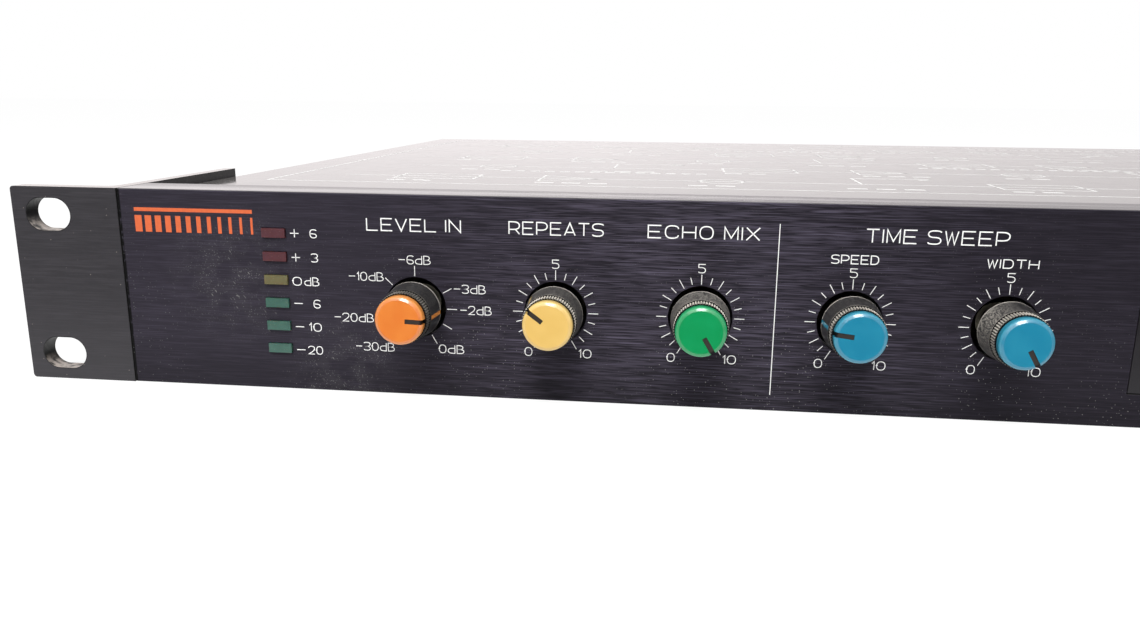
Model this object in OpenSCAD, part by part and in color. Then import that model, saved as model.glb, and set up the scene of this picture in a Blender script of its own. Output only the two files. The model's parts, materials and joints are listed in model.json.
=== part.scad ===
// One-unit rackmount digital delay: lipped front panel, two bolt-on rack ears, tray and cover,
// five dial knobs on potentiometers, level lamps, key fascia and the boards and parts inside.
// X runs along the panel, the panel faces -Y and Z is up. Module sizes along Y are depths behind
// the panel face; place() moves them so that the whole depth is centred on the origin.

/* [Rack format] */
// Width across both rack ears
panel_w = 482; // [476:0.5:490]
// Height of the front panel
panel_h = 44; // [43:0.25:46]
// Width of each rack ear
ear_w = 25; // [22:0.5:30]
// Thickness of the front plate of an ear
ear_t = 4; // [3:0.25:5]
// Radius of an ear's outer corners
ear_r = 0.8; // [0.4:0.1:2]
// Thickness of the side flange of an ear
flange_t = 3; // [2:0.25:4]
// Depth of the side flange behind the panel face
flange_len = 56; // [50:1:80]
// Slot spacing across the rack
slot_pitch_x = 465.1; // [462:0.1:467]
// Slot spacing in height
slot_pitch_z = 31.75; // [30:0.05:32.5]
// Length of a rack slot
slot_len = 10.4; // [8:0.2:11]
// Width of a rack slot
slot_w = 7.2; // [6:0.2:7.6]
// Gap between an ear and the front panel
seam = 0.3; // [0.2:0.05:0.6]

/* [Case] */
// Depth from the panel face to the back of the case
body_depth = 276; // [250:1:330]
// Drop from the panel's top edge to the cover
cover_drop = 1.9; // [1:0.1:3]
// Sheet thickness of the tray
tray_t = 1.2; // [0.8:0.1:1.6]
// Sheet thickness of the cover
cover_t = 1; // [0.8:0.1:1.6]
// Clearance between the cover and the tray
slip = 0.1; // [0.05:0.05:0.3]
// Outside radius of a sheet bend
bend_r = 2; // [1.8:0.1:3]
// Gap from the floor to the lower edge of the cover
cover_lift = 0.4; // [0.2:0.1:2]
// Distance of the first side screw of the cover behind the panel face
first_side_screw = 108; // [90:1:120]
// Spacing of the side screws of the cover
side_screw_pitch = 74; // [40:1:80]
// Depth of the front screw of an ear behind the panel face
ear_screw_y = 26; // [22:1:30]
// Spacing of the two screws of an ear along its flange
ear_screw_pitch = 20; // [12:1:22]

/* [Front panel] */
// Thickness of the panel's face plate
plate_t = 4; // [3:0.25:5]
// Depth of the lips above and below the face plate
lip_depth = 12.4; // [11:0.2:16]
// Thickness of the lips
lip_t = 2.2; // [1.6:0.1:3]
// Radius of the panel's long edges
edge_r = 0.4; // [0.2:0.1:0.8]
// Diameter of the screw bosses behind the panel
boss_d = 6; // [5:0.25:8]
// Height of the screw bosses above and below the panel's middle
boss_rise = 12; // [10:0.5:13]
// Distance of the screw bosses from the panel's ends and from the fascia's rim
boss_inset = 9; // [8:0.25:11]

/* [Fasteners] */
// Thread diameter of the screws
screw_d = 3; // [2.5:0.1:3.5]
// Head diameter of the screws
head_d = 5.6; // [5:0.1:6.2]
// Head height of the screws
head_h = 1.9; // [1.4:0.1:2.4]
// Radial clearance of a screw in its thread
thread_fit = 0.03; // [0.02:0.01:0.05]
// Radial clearance of a screw in a plain hole
screw_clear = 0.2; // [0.1:0.05:0.4]
// How far a screw reaches into a boss or a pillar
screw_bite = 5; // [4:0.25:6]
// How far a case screw stands out of its thread
screw_tip = 1; // [0.5:0.1:2]

/* [Knobs] */
// First dial's distance from the panel's left end
first_knob = 91.4; // [89:0.2:94]
// Spacing of the dials
knob_pitch = 30.4; // [28:0.1:31]
// Height of the dial axes
knob_z = 19.7; // [18:0.1:22]
// Diameter of the panel holes behind the knobs
knob_hole_d = 13.4; // [12.6:0.1:15]
// Gap between a knob and the panel face
knob_gap = 2; // [1:0.1:3]
// Diameter of a knob's skirt at its foot
skirt_d = 12.2; // [11.6:0.1:13]
// Diameter of a knob's skirt under the knurl
collar_d = 11.2; // [11:0.1:11.6]
// Length of the skirt
skirt_len = 6.4; // [5.5:0.1:8]
// Diameter over the knurl
knurl_d = 10.9; // [10.6:0.1:11]
// Depth of the knurl's teeth
knurl_depth = 0.28; // [0.15:0.01:0.4]
// Number of teeth in the knurl
knurl_n = 60; // [36:1:72]
// Length of the knurl
knurl_len = 2.3; // [1.5:0.1:3]
// Groove between the knurl and the cap
cap_gap = 0.3; // [0.2:0.05:0.6]
// Diameter of the coloured cap
cap_d = 10.2; // [9.6:0.1:10.4]
// Thickness of the coloured cap
cap_t = 1.8; // [1.4:0.1:2.4]
// Rounding of the cap's rim
cap_round = 0.8; // [0.4:0.1:1]
// Width of the pointer slot
pointer_w = 1; // [0.6:0.05:1.4]
// Distance of the pointer slot from the cap's centre
pointer_start = 1.3; // [0.8:0.1:2]
// Depth of the pointer rib below the cap's face
pointer_sink = 0.15; // [0.05:0.05:0.3]
// Depth of the index groove along the skirt
index_depth = 0.2; // [0.1:0.05:0.3]
// Width of the index groove
index_w = 0.9; // [0.6:0.05:1.2]
// Wall of the skirt and of the boss around the shaft
skirt_wall = 1.1; // [0.9:0.05:1.2]
// Solid end of the knob in front of the hollow in its skirt
knob_floor = 2; // [1.5:0.1:3]
// Chamfer around the skirt's foot
skirt_lip = 0.3; // [0.2:0.05:0.5]

/* [Potentiometers] */
// Diameter of a shaft
shaft_d = 6; // [5.5:0.1:6.2]
// Depth of the flat on a shaft
flat_depth = 1.2; // [0.8:0.1:1.6]
// How far a shaft reaches into its knob
shaft_grip = 6; // [5:0.1:7]
// Radial clearance of a shaft in its bush
running = 0.05; // [0.02:0.01:0.08]
// Diameter of the threaded bush
bush_d = 8; // [7.6:0.1:9]
// Length of the bush in front of the chassis wall
bush_len = 6; // [5:0.1:6.5]
// Diameter of a potentiometer's can
pot_d = 16; // [14:0.25:17]
// Depth of a potentiometer's can
pot_len = 9; // [8:0.25:12]
// Thickness of the washer under a bush nut
washer_t = 0.6; // [0.4:0.1:1]
// Diameter of that washer
washer_d = 12; // [11:0.2:13]
// Thickness of a bush nut
bush_nut_t = 2.2; // [1.8:0.1:3]
// Width of a bush nut across its flats
bush_nut_af = 10; // [9.6:0.1:11]
// Spacing of a potentiometer's solder tags
tag_pitch = 4; // [3:0.1:5]
// Length of a solder tag
tag_len = 5; // [4:0.1:6]
// Width of a solder tag
tag_w = 1.2; // [0.8:0.1:1.6]
// Thickness of a solder tag
tag_t = 0.5; // [0.4:0.05:0.8]

/* [Level meter] */
// Lamp column's distance from the panel's left end
lamp_at = 60.4; // [57:0.2:63]
// Height of the top lamp
lamp_top = 35.1; // [34:0.1:36]
// Spacing of the lamps
lamp_pitch = 5.13; // [4.8:0.01:5.2]
// Width of a lamp
lamp_w = 5.2; // [4.4:0.1:5.6]
// Height of a lamp
lamp_h = 2; // [1.6:0.1:2.4]
// How far a lamp stands proud of the panel
lamp_out = 0.5; // [0.2:0.1:1]
// Clearance of a lamp in its window
lamp_clear = 0.12; // [0.05:0.01:0.2]
// Depth of a lamp's body behind the panel face
lamp_body = 8; // [6.5:0.25:9]
// Width of the lamps' board
meter_w = 18; // [16:0.5:22]
// Shift of the lamps' board towards its screws
meter_shift = 4; // [3:0.25:5]
// Rim of the lamps' board above and below the lamps
meter_rim = 2; // [1.5:0.25:3]
// Distance of the board's screws from its right edge
meter_screw_side = 5.5; // [5:0.1:6]
// Distance of the board's screws from its upper and lower edges
meter_screw_in = 4; // [3:0.1:6]

/* [Key fascia] */
// Fascia's distance from the panel's left end
fascia_at = 237.7; // [234:0.2:242]
// Width of the fascia
fascia_w = 170; // [164:0.5:174]
// Height of the fascia
fascia_h = 30; // [28:0.25:32]
// Gap around the fascia
fascia_gap = 0.25; // [0.15:0.05:0.4]
// Depth of the fascia's face behind the panel face
fascia_sink = 0.2; // [0.1:0.1:0.6]
// Thickness of the fascia's plate
fascia_t = 3; // [2.6:0.1:3.4]
// Width of the rim that bears on the back of the panel
fascia_rim = 2; // [1.5:0.1:3]
// Thickness of that rim
rim_t = 1.2; // [1:0.1:1.6]
// Width of the wall around the hollow behind the fascia
fascia_wall = 3; // [2:0.1:3.2]
// Width of the display window
window_w = 58; // [50:0.5:60]
// Height of the display window
window_h = 18; // [15:0.5:20]
// Thickness of the display window
window_t = 1.8; // [1.4:0.1:2]
// Ledge that the display window rests on
window_ledge = 2; // [1.5:0.1:3]
// Window's distance from the fascia's left end
window_at = 8; // [6:0.5:10]
// Depth of the digit module
digits_t = 5; // [4:0.1:5.2]
// Room between the window's opening and the digit module at each end
digits_end = 2; // [1:0.25:4]
// Room between the window's opening and the digit module above and below
digits_side = 0.5; // [0.25:0.25:2]

/* [Keys] */
// First key's distance from the fascia's left end
first_key = 80; // [76:0.5:82]
// Spacing of the keys
key_pitch = 10.4; // [10:0.1:10.6]
// Extra space between groups of keys
group_gap = 3; // [1:0.5:4]
// Room between the last key and the fascia's right end
key_end = 6.9; // [5:0.1:8]
// Width of a key
key_w = 8.6; // [7:0.1:9]
// Height of a key
key_h = 6; // [5:0.1:7]
// Corner radius of a key
key_r = 0.8; // [0.4:0.1:1.5]
// How far a key stands out of the fascia
key_out = 1.6; // [1.2:0.1:2.5]
// Travel of a key
key_travel = 0.8; // [0.4:0.1:1]
// Clearance of a key in its hole
key_clear = 0.3; // [0.2:0.05:0.4]
// Height of the row of keys
key_z = 15.5; // [14:0.25:17]
// Height of the row of key lamps
key_lamp_z = 26; // [24:0.25:28]
// Diameter of a key lamp
key_lamp_d = 3; // [2.6:0.1:3.4]
// Side of a key switch
switch_w = 6; // [5.5:0.1:6.5]
// Height of a key switch on its board
switch_h = 4.3; // [3.6:0.1:4.5]
// Diameter of the plunger behind a key
plunger_d = 3; // [2.4:0.1:3.4]
// How far a plunger reaches into its switch
plunger_in = 1.2; // [0.8:0.1:1.6]
// Height of the flange that keeps a key behind the fascia
key_flange = 1; // [0.6:0.1:1.2]
// Thickness of that flange
key_flange_t = 0.8; // [0.6:0.1:1]
// Distance of the key board's ends from the fascia's ends
key_board_margin = 5; // [4:0.25:6]
// Distance of the key board's long edges from the fascia's
key_board_rim = 0.5; // [0.25:0.25:1]

/* [Power switch] */
// Power button's distance from the panel's right end
power_at = 52; // [49:0.5:54]
// Room between the fascia's rim and the power switch
power_gap = 11.8; // [9:0.1:14]
// Width of the power button
power_w = 14; // [12:0.25:15]
// Height of the power button
power_h = 9; // [8:0.25:10]
// How far the power button stands out
power_out = 4.5; // [4:0.1:6]
// Travel of the power button
power_travel = 3; // [2:0.1:3.5]
// Clearance of the power button in the panel
power_clear = 0.3; // [0.2:0.05:0.5]
// Side of the power button's stem
stem_w = 5; // [4:0.1:6]
// How far the stem reaches into the switch
stem_in = 8; // [6:0.25:10]
// Depth of the power switch
power_switch_len = 24; // [22:0.5:30]
// How far the switch's body stands out beside the button
power_side = 1.5; // [1:0.1:2]
// How far the switch's body stands out above and below the button
power_rise = 2.5; // [1.5:0.1:3]
// Length of each mounting lug of the power switch
power_lug = 8; // [7:0.25:9]

/* [Back] */
// First jack's distance from the left side of the case
first_jack = 36; // [30:0.5:40]
// Spacing of the jacks
jack_pitch = 26; // [22:0.25:27]
// Diameter of the hole for the jack plug
jack_bore_d = 6.5; // [6.4:0.05:6.7]
// Diameter of a jack's threaded bush
jack_bush_d = 9.4; // [9.2:0.1:10]
// How far a jack's bush stands out of the back
jack_out = 6; // [5:0.1:7]
// Side of a jack's housing
jack_w = 15; // [14:0.25:17]
// Depth of a jack's housing
jack_len = 22; // [20:0.25:26]
// Thickness of a jack nut
jack_nut_t = 2.4; // [2:0.1:3]
// Width of a jack nut across its flats
jack_nut_af = 13; // [12:0.1:14]
// Height of the jacks, the level switch and the cord gland
back_z = 23; // [21:0.25:25]
// Level switch's distance from the last jack
level_at = 34; // [30:0.5:38]
// Travel of the level switch
level_travel = 4; // [3:0.1:5]
// Width of the level switch's slider
slider_w = 5; // [4:0.1:6]
// Height of the level switch's slider
slider_h = 4.6; // [4:0.1:5.5]
// How far the slider stands out of the back
slider_out = 2.6; // [2:0.1:3.5]
// Depth of the slider inside the level switch
level_depth = 4; // [3:0.1:5]
// Wall of the level switch above, below and behind its slider
level_wall = 2.5; // [2:0.1:3]
// Wall of the level switch at each end of the slider's travel
level_end = 4.5; // [3:0.1:6]
// Length of each mounting lug of the level switch
level_lug = 5; // [4:0.25:8]
// Cord gland's distance from the right side of the case
gland_at = 24; // [20:0.5:30]
// Bore of the cord gland
gland_bore_d = 7.6; // [6.5:0.1:8.5]
// How far the gland stands out of the back
gland_out = 7; // [6.5:0.1:10]
// Wall of the cord gland
gland_wall = 2.5; // [2:0.1:3]
// Width and thickness of the gland's flange
gland_flange = 2; // [1.5:0.1:3]
// How far the gland reaches inside the case
gland_in = 8; // [6:0.25:10]

/* [Inside] */
// Thickness of the boards
board_t = 1.6; // [1.2:0.1:2]
// Height of the board pillars
pillar_h = 6; // [5:0.25:8]
// Width of a board pillar across its flats
pillar_d = 6; // [5.5:0.1:7]
// Distance of the pillars from the edges of the main board
pillar_inset = 7; // [6:0.25:9]
// Room between the main board and what stands beside it
board_margin = 8; // [6:0.25:10]
// Gap between the main board and the back of the case
board_gap = 1; // [0.5:0.1:2]
// Distance of the front row of chips and small capacitors from the board's front edge
chip_front = 50; // [44:1:56]
// Distance of the first column of chips from the board's left edge
chip_left = 40; // [36:1:44]
// Spacing of the chips across the board
chip_pitch_x = 15; // [13:0.5:18]
// Spacing of the chips along the board
chip_pitch_y = 30; // [26:0.5:34]
// Width of a small chip
chip_w = 7.2; // [6.4:0.1:8]
// Length of a small chip
chip_l = 19.6; // [18:0.1:22]
// Width of a large chip
big_chip_w = 14; // [12:0.1:15]
// Length of a large chip
big_chip_l = 50; // [44:0.5:54]
// Diameter of a small capacitor
small_can_d = 8; // [6:0.25:9]
// Height of a small capacitor
small_can_h = 11.5; // [9:0.25:13]
// Diameter of a large capacitor
big_can_d = 18; // [16:0.25:20]
// Height of a large capacitor
big_can_h = 25; // [22:0.25:28]
// Distance of the small capacitors from the board's left edge
small_can_left = 18; // [12:0.5:24]
// Spacing of the small capacitors
small_can_pitch = 22; // [12:0.5:24]
// Spacing of the large capacitors
big_can_pitch = 24; // [21:0.5:28]
// Distance of the first large capacitor from the board's front edge
big_can_front = 110; // [100:1:120]
// Distance of the fuse and the large capacitors from the board's right edge
power_column = 24; // [20:0.5:28]
// Distance of the fuse from the board's front edge
fuse_front = 40; // [34:1:46]
// Length of the fuse
fuse_l = 20; // [18:0.25:22]
// Diameter of the fuse
fuse_d = 5; // [4.5:0.1:5.5]
// First regulator's distance from the level switch
regulator_at = 34; // [30:0.5:38]
// Spacing of the regulators
regulator_pitch = 20; // [16:0.5:24]
// Width of a regulator
regulator_w = 10; // [9:0.1:11]
// Thickness of a regulator
regulator_t = 4.4; // [4:0.1:5]
// Height of a regulator's moulded body
regulator_body = 9; // [8:0.25:10]
// Height of a regulator's tab
regulator_h = 17; // [15:0.25:19]
// Length of a regulator's legs above the board
regulator_legs = 7; // [5:0.25:8]
// Thickness of a regulator's tab
tab_t = 1.3; // [1:0.1:1.6]
// Distance of a regulator's screw from the top of its tab
tab_screw = 3; // [2.8:0.1:3.5]
// Thickness of the transformer's strap and of the switch lugs
frame_t = 1.2; // [1:0.1:1.6]
// Width of the strap's feet
foot_w = 12; // [10:0.5:14]
// Transformer's distance from the right side of the case
mains_at = 62; // [58:0.5:70]
// Transformer's distance from the back of the case
mains_back = 78; // [70:1:100]
// Width of the transformer core
core_w = 60; // [54:0.5:66]
// Length of the transformer core
core_l = 50; // [46:0.5:56]
// Height of the core's stack
core_h = 20; // [16:0.5:22]
// Width of the core's outer limbs
limb_w = 10; // [8:0.25:11]
// Thickness of the winding
coil_t = 7; // [6:0.1:8]
// Width of the ribbon cable
ribbon_w = 25; // [15:0.5:30]
// Thickness of the ribbon cable
ribbon_t = 1; // [0.8:0.1:1.4]
// Height of the ribbon cable above the panel's middle
ribbon_rise = 6; // [4:0.25:8]
// Bend radius of the ribbon cable
ribbon_bend = 6; // [4:0.25:8]
// Distance of the ribbon cable's drop from the board's front edge
ribbon_front = 14; // [10:0.5:18]

/* [Hidden] */
$fn = 48;

half_w = panel_w / 2;
side_x = half_w - ear_w;
panel_x = side_x - seam;
cover_top = panel_h - cover_drop;
tray_x = side_x - cover_t - slip;
tray_top = cover_top - cover_t - slip;
wall_y = lip_depth;
wall_back = wall_y + tray_t;
rear_in = body_depth - tray_t;
mid_z = panel_h / 2;
joint_gap = 0.1;
cut = 1;
knob_front = knob_gap + skirt_len + knurl_len + cap_gap + cap_t;
whole_depth = knob_front + body_depth + max(gland_out, jack_out);
face_y = knob_front - whole_depth / 2;

// Gaps between the groups of controls along the panel; a panel that is wider or narrower than
// they need stretches or shrinks them all alike
power_body_w = power_w + 2 * power_side;
power_body_h = power_h + 2 * power_rise;
end_room = seam + boss_inset + head_d / 2 + screw_clear;
dials_w = 4 * knob_pitch + pot_d;
meter_left = meter_w / 2 - meter_shift;
meter_right = meter_w / 2 + meter_shift;
groups_w = 2 * end_room + meter_w + dials_w + boss_d + fascia_w + 2 * fascia_rim + power_body_w;
lamp_gap = lamp_at - meter_left - ear_w - end_room;
dial_gap = first_knob - pot_d / 2 - lamp_at - meter_right;
fascia_room = fascia_at - fascia_rim - boss_d - first_knob + pot_d / 2 - dials_w;
end_gap = power_at - power_body_w / 2 - ear_w - end_room;
gaps_w = lamp_gap + dial_gap + fascia_room + power_gap + end_gap;
spread = (panel_w - 2 * ear_w - groups_w) / gaps_w;

lamp_x = -side_x + end_room + spread * lamp_gap + meter_left;
first_dial_x = lamp_x + meter_right + spread * dial_gap + pot_d / 2;
dial_x = [for (i = [0:4]) first_dial_x + i * knob_pitch];
fascia_x = dial_x[4] + pot_d / 2 + boss_d + spread * fascia_room + fascia_rim;
power_x = side_x - end_room - spread * end_gap - power_body_w / 2;
middle_boss_x = fascia_x - fascia_rim - boss_d / 2 - spread * (boss_inset - boss_d / 2);
pointer_angle = [92, -53, 149, -83, 150];
cap_tint = ["#f08a30", "#f2d27a", "#109a5c", "#2284a0", "#2284a0"];

boss_x = [-(panel_x - boss_inset), middle_boss_x, panel_x - boss_inset];
screw_len = tray_t + screw_bite;
side_screw_y = [for (i = [0:2]) first_side_screw + i * side_screw_pitch];
ear_screws_y = [ear_screw_y, ear_screw_y + ear_screw_pitch];
ear_screw_z = mid_z;

lamp_rows = [for (i = [0:5]) lamp_top - i * lamp_pitch];
leg_w = 0.5;
meter_z0 = lamp_rows[5] - lamp_h / 2 - meter_rim;
meter_z1 = lamp_top + lamp_h / 2 + meter_rim;
meter_screw_z = [meter_z0 + meter_screw_in, meter_z1 - meter_screw_in];
meter_screw_x = lamp_x + meter_right - meter_screw_side;
board_front = wall_y - board_t;

fascia_mid = fascia_x + fascia_w / 2;
fascia_back = fascia_sink + fascia_t;
rim_back = plate_t + rim_t;

pot_wall = 2;
shaft_socket = wall_back + pot_len - pot_wall;

// Gaps along the fascia, shared out in the same way
key_n = 8;
plain_key_n = 2;
window_clear = 0.1;
keys_w = (key_n - 1) * key_pitch + 2 * group_gap + key_w;
wall_room = fascia_gap + fascia_wall + key_clear;
window_gap = first_key - key_w / 2 - window_at - window_w;
key_end_gap = key_end - wall_room;
fascia_spread = (fascia_w - window_w - keys_w - wall_room) / (window_at + window_gap + key_end_gap);
window_x = fascia_x + fascia_spread * window_at + window_w / 2;
digits_w = window_w - 2 * window_ledge - 2 * digits_end;
digits_h = window_h - 2 * window_ledge - 2 * digits_side;
first_key_x = window_x + window_w / 2 + fascia_spread * window_gap + key_w / 2;
key_x = [for (i = [0:key_n - 1]) first_key_x + i * key_pitch
    + (i > 1 ? group_gap : 0) + (i > 5 ? group_gap : 0)];
key_lamp_foot = 3;
key_lamp_flange = 0.5;
switch_front = board_front - switch_h;
plunger_clear = 0.25;
over_travel = 0.3;
key_screw_z = mid_z + fascia_h / 2 - head_d;

power_foot = board_front - power_travel - over_travel - joint_gap;
power_lug_screw = power_lug / 2;
stem_clear = 0.35;
stem_hole = stem_w + 2 * stem_clear;

jack_x = [for (i = [0:5]) -side_x + first_jack + i * jack_pitch];
level_x = jack_x[5] + level_at;
level_clear = 0.3;
level_body_h = slider_h + 2 * level_wall;
level_body_w = slider_w + level_travel + 2 * level_end;
gland_x = side_x - gland_at;

floor_z = tray_t;
mains_x = side_x - mains_at;
mains_y = body_depth - mains_back;
board_z = floor_z + pillar_h;
board_top = board_z + board_t;
board_x0 = -(tray_x - tray_t - board_margin);
board_x1 = mains_x - core_w / 2 - 2 * board_margin;
board_y0 = wall_back + pot_len + board_margin;
board_y1 = rear_in - board_gap;
pillar_x = [board_x0 + pillar_inset, (board_x0 + board_x1) / 2, board_x1 - pillar_inset];
pillar_y = [board_y0 + pillar_inset, board_y1 - jack_len - pillar_inset - pillar_d];
stud_wall = 0.5;
stud_sink = 0.2;
pillar_stud_d = screw_d + 2 * stud_wall;
chip_columns = 8;
chip_h = 3.4;
chip_lift = 0.6;
chip_leg = 0.4;
chip_notch = 2;
can_bead = 1.2;
clip_wall = 1;
chip_first_x = board_x0 + chip_left;
chip_first_y = board_y0 + chip_front;
power_column_x = board_x1 - power_column;
coil_h = core_h + 2 * coil_t;
core_z = floor_z + coil_t;
coil_fit = 0.2;
coil_round = 4;
regulator_x = [level_x + regulator_at, level_x + regulator_at + regulator_pitch];
regulator_screw_z = board_top + regulator_legs + regulator_h - tab_screw;
ribbon_x = window_x;
ribbon_z = mid_z + ribbon_rise;
ribbon_clear = 1;
ribbon_drop_y = board_y0 + ribbon_front;
gland_neck_d = gland_bore_d + 2 * gland_wall;

module place() { translate([0, face_y, 0]) children(); }
module block(x0, x1, y0, y1, z0, z1) { translate([x0, y0, z0]) cube([x1 - x0, y1 - y0, z1 - z0]); }
module slab(w, h, y0, y1) { translate([-w / 2, y0, -h / 2]) cube([w, y1 - y0, h]); }
module rod(d, y0, y1) { translate([0, y0, 0]) rotate([-90, 0, 0]) cylinder(d = d, h = y1 - y0); }
module at(x, z) { translate([x, 0, z]) children(); }
module along_x(x0, x1) { translate([x0, 0, 0]) rotate([90, 0, 90]) linear_extrude(x1 - x0) children(); }
module along_y(y0, y1) { translate([0, y1, 0]) rotate([90, 0, 0]) linear_extrude(y1 - y0) children(); }
module both_sides() {
    children();
    mirror([1, 0, 0]) children();
}

// Rectangle with four round corners
module rounded(w, h, r) {
    square([w - 2 * r, h], center = true);
    square([w, h - 2 * r], center = true);
    for (x = [-1, 1], y = [-1, 1])
        translate([x * (w / 2 - r), y * (h / 2 - r)]) circle(r);
}

// Rectangle from (x0, z0) to (x1, z1) with its two lower corners rounded, as a bent sheet's section
module bowl(x0, x1, z0, z1, r) {
    translate([x0, z0 + r]) square([x1 - x0, z1 - z0 - r]);
    translate([x0 + r, z0]) square([x1 - x0 - 2 * r, z1 - z0]);
    for (x = [x0 + r, x1 - r]) translate([x, z0 + r]) circle(r);
}

// Pan-head screw pointing down -Z, with a cross recess
module pan_screw(len) {
    rise = head_h * 0.5;
    dome = (head_d * head_d / 4 + rise * rise) / (2 * rise);
    recess = head_d * 0.5;
    recess_w = head_d * 0.13;
    difference() {
        intersection() {
            cylinder(d = head_d, h = head_h);
            translate([0, 0, head_h - dome]) sphere(dome, $fn = 96);
        }
        translate([0, 0, head_h]) cube([recess, recess_w, head_h * 1.2], center = true);
        translate([0, 0, head_h]) cube([recess_w, recess, head_h * 1.2], center = true);
    }
    translate([0, 0, -len]) cylinder(d = screw_d, h = len);
}
module screw_to_back(len) { rotate([90, 0, 0]) pan_screw(len); }
module screw_to_front(len) { rotate([-90, 0, 0]) pan_screw(len); }
module screw_inward(len) { rotate([0, 90, 0]) pan_screw(len); }

// Lipped section of the panel, in depth and height
module panel_section() {
    difference() {
        translate([lip_depth / 2, mid_z]) rounded(lip_depth, panel_h, edge_r);
        translate([plate_t, lip_t]) square([lip_depth, panel_h - 2 * lip_t]);
    }
}
module boss_places() {
    for (x = boss_x, s = [-1, 1]) at(x, mid_z + s * boss_rise) children();
}
module front_panel() {
    color("#26252b") difference() {
        union() {
            along_x(-panel_x, panel_x) panel_section();
            boss_places() rod(boss_d, plate_t - cut / 2, lip_depth);
        }
        boss_places() rod(screw_d + 2 * thread_fit, plate_t, lip_depth + cut);
        for (x = dial_x) at(x, knob_z) rod(knob_hole_d, -cut, plate_t + cut);
        for (z = lamp_rows) at(lamp_x, z)
            slab(lamp_w + 2 * lamp_clear, lamp_h + 2 * lamp_clear, -cut, plate_t + cut);
        at(fascia_mid, mid_z) slab(fascia_w, fascia_h, -cut, plate_t + cut);
        at(power_x, mid_z) slab(power_w + 2 * power_clear, power_h + 2 * power_clear, -cut, plate_t + cut);
    }
}

// Rack ear on the right, with two slots and a flange along the side of the case
module rack_ear() {
    fillet = 2;
    color("#2b2a2f") difference() {
        union() {
            along_y(0, ear_t) translate([side_x + ear_w / 2, mid_z]) rounded(ear_w, panel_h, ear_r);
            block(side_x, side_x + flange_t, 0, flange_len, 0, panel_h);
            difference() {
                block(side_x + flange_t, side_x + flange_t + fillet, ear_t, ear_t + fillet, 0, panel_h);
                translate([side_x + flange_t + fillet, ear_t + fillet, -cut])
                    cylinder(r = fillet, h = panel_h + 2 * cut);
            }
        }
        for (s = [-1, 1]) at(slot_pitch_x / 2, mid_z + s * slot_pitch_z / 2) {
            slab(slot_len - slot_w, slot_w, -cut, ear_t + cut);
            for (e = [-1, 1]) at(e * (slot_len - slot_w) / 2, 0) rod(slot_w, -cut, ear_t + cut);
        }
        for (y = ear_screws_y) side_hole(y, ear_screw_z, screw_clear);
    }
}
module rack_ear_left() { mirror([1, 0, 0]) rack_ear(); }
module rack_ear_right() { rack_ear(); }

// Hole along X through the right side of the case
module side_hole(y, z, clear) {
    translate([tray_x - tray_t - cut, y, z]) rotate([0, 90, 0])
        cylinder(d = screw_d + 2 * clear, h = half_w - tray_x);
}
module side_holes(clear) {
    both_sides() {
        for (y = side_screw_y) side_hole(y, mid_z, clear);
        for (y = ear_screws_y) side_hole(y, ear_screw_z, clear);
    }
}

// Solid that the tray's sheet encloses, inset from its outside by the given wall
module tray_block(wall, top) {
    r = bend_r - wall;
    intersection() {
        along_y(wall_y + wall, body_depth - wall) bowl(-tray_x + wall, tray_x - wall, wall, top, r);
        along_x(-tray_x + wall, tray_x - wall) bowl(wall_y + wall, body_depth - wall, wall, top, r);
    }
}
module chassis_tray() {
    color("#3a3a3e") difference() {
        tray_block(0, tray_top);
        tray_block(tray_t, tray_top + cut);
        both_sides() block(tray_x - bend_r, tray_x + cut, wall_y - cut, body_depth + cut,
            cover_top - bend_r - slip, tray_top + cut);
        side_holes(thread_fit);
        boss_places() rod(screw_d + 2 * screw_clear, wall_y - cut, wall_back + cut);
        panel_board_screws() rod(screw_d + 2 * thread_fit, wall_y - cut, wall_back + cut);
        for (x = dial_x) at(x, knob_z) rod(bush_d + 2 * screw_clear, wall_y - cut, wall_back + cut);
        at(power_x, mid_z) slab(stem_hole, stem_hole, wall_y - cut, wall_back + cut);
        power_screws() rod(screw_d + 2 * thread_fit, wall_y - cut, wall_back + cut);
        at(ribbon_x, ribbon_z) slab(ribbon_w + 2 * ribbon_clear, ribbon_t + 2 * ribbon_clear, wall_y - cut,
            wall_back + cut);
        for (x = jack_x) at(x, back_z) rod(jack_bush_d + 2 * screw_clear, rear_in - cut, body_depth + cut);
        at(level_x, back_z) slab(slider_w + level_travel + 2 * level_clear, slider_h + 2 * level_clear,
            rear_in - cut, body_depth + cut);
        regulator_screws() rod(screw_d + 2 * thread_fit, rear_in - cut, body_depth + cut);
        at(gland_x, back_z) rod(gland_neck_d + 2 * screw_clear, rear_in - cut, body_depth + cut);
        pillar_places() translate([0, 0, -cut]) cylinder(d = pillar_stud_d, h = floor_z + 2 * cut);
        mains_screws() translate([0, 0, -cut]) cylinder(d = screw_d + 2 * thread_fit, h = floor_z + 2 * cut);
    }
}

module top_cover() {
    color("#2e2d31") difference() {
        translate([0, 0, cover_top]) mirror([0, 0, 1]) along_y(wall_y, body_depth) difference() {
            bowl(-side_x, side_x, 0, cover_top - cover_lift, bend_r);
            bowl(-side_x + cover_t, side_x - cover_t, cover_t, cover_top, bend_r - cover_t);
        }
        side_holes(screw_clear);
    }
}

module case_screws() {
    color("#1a1a1c") both_sides() {
        for (y = side_screw_y) translate([side_x, y, mid_z])
            screw_inward(side_x - tray_x + tray_t + screw_tip);
        for (y = ear_screws_y) translate([side_x + flange_t, y, ear_screw_z])
            screw_inward(side_x + flange_t - tray_x + tray_t + screw_tip);
    }
}

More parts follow.
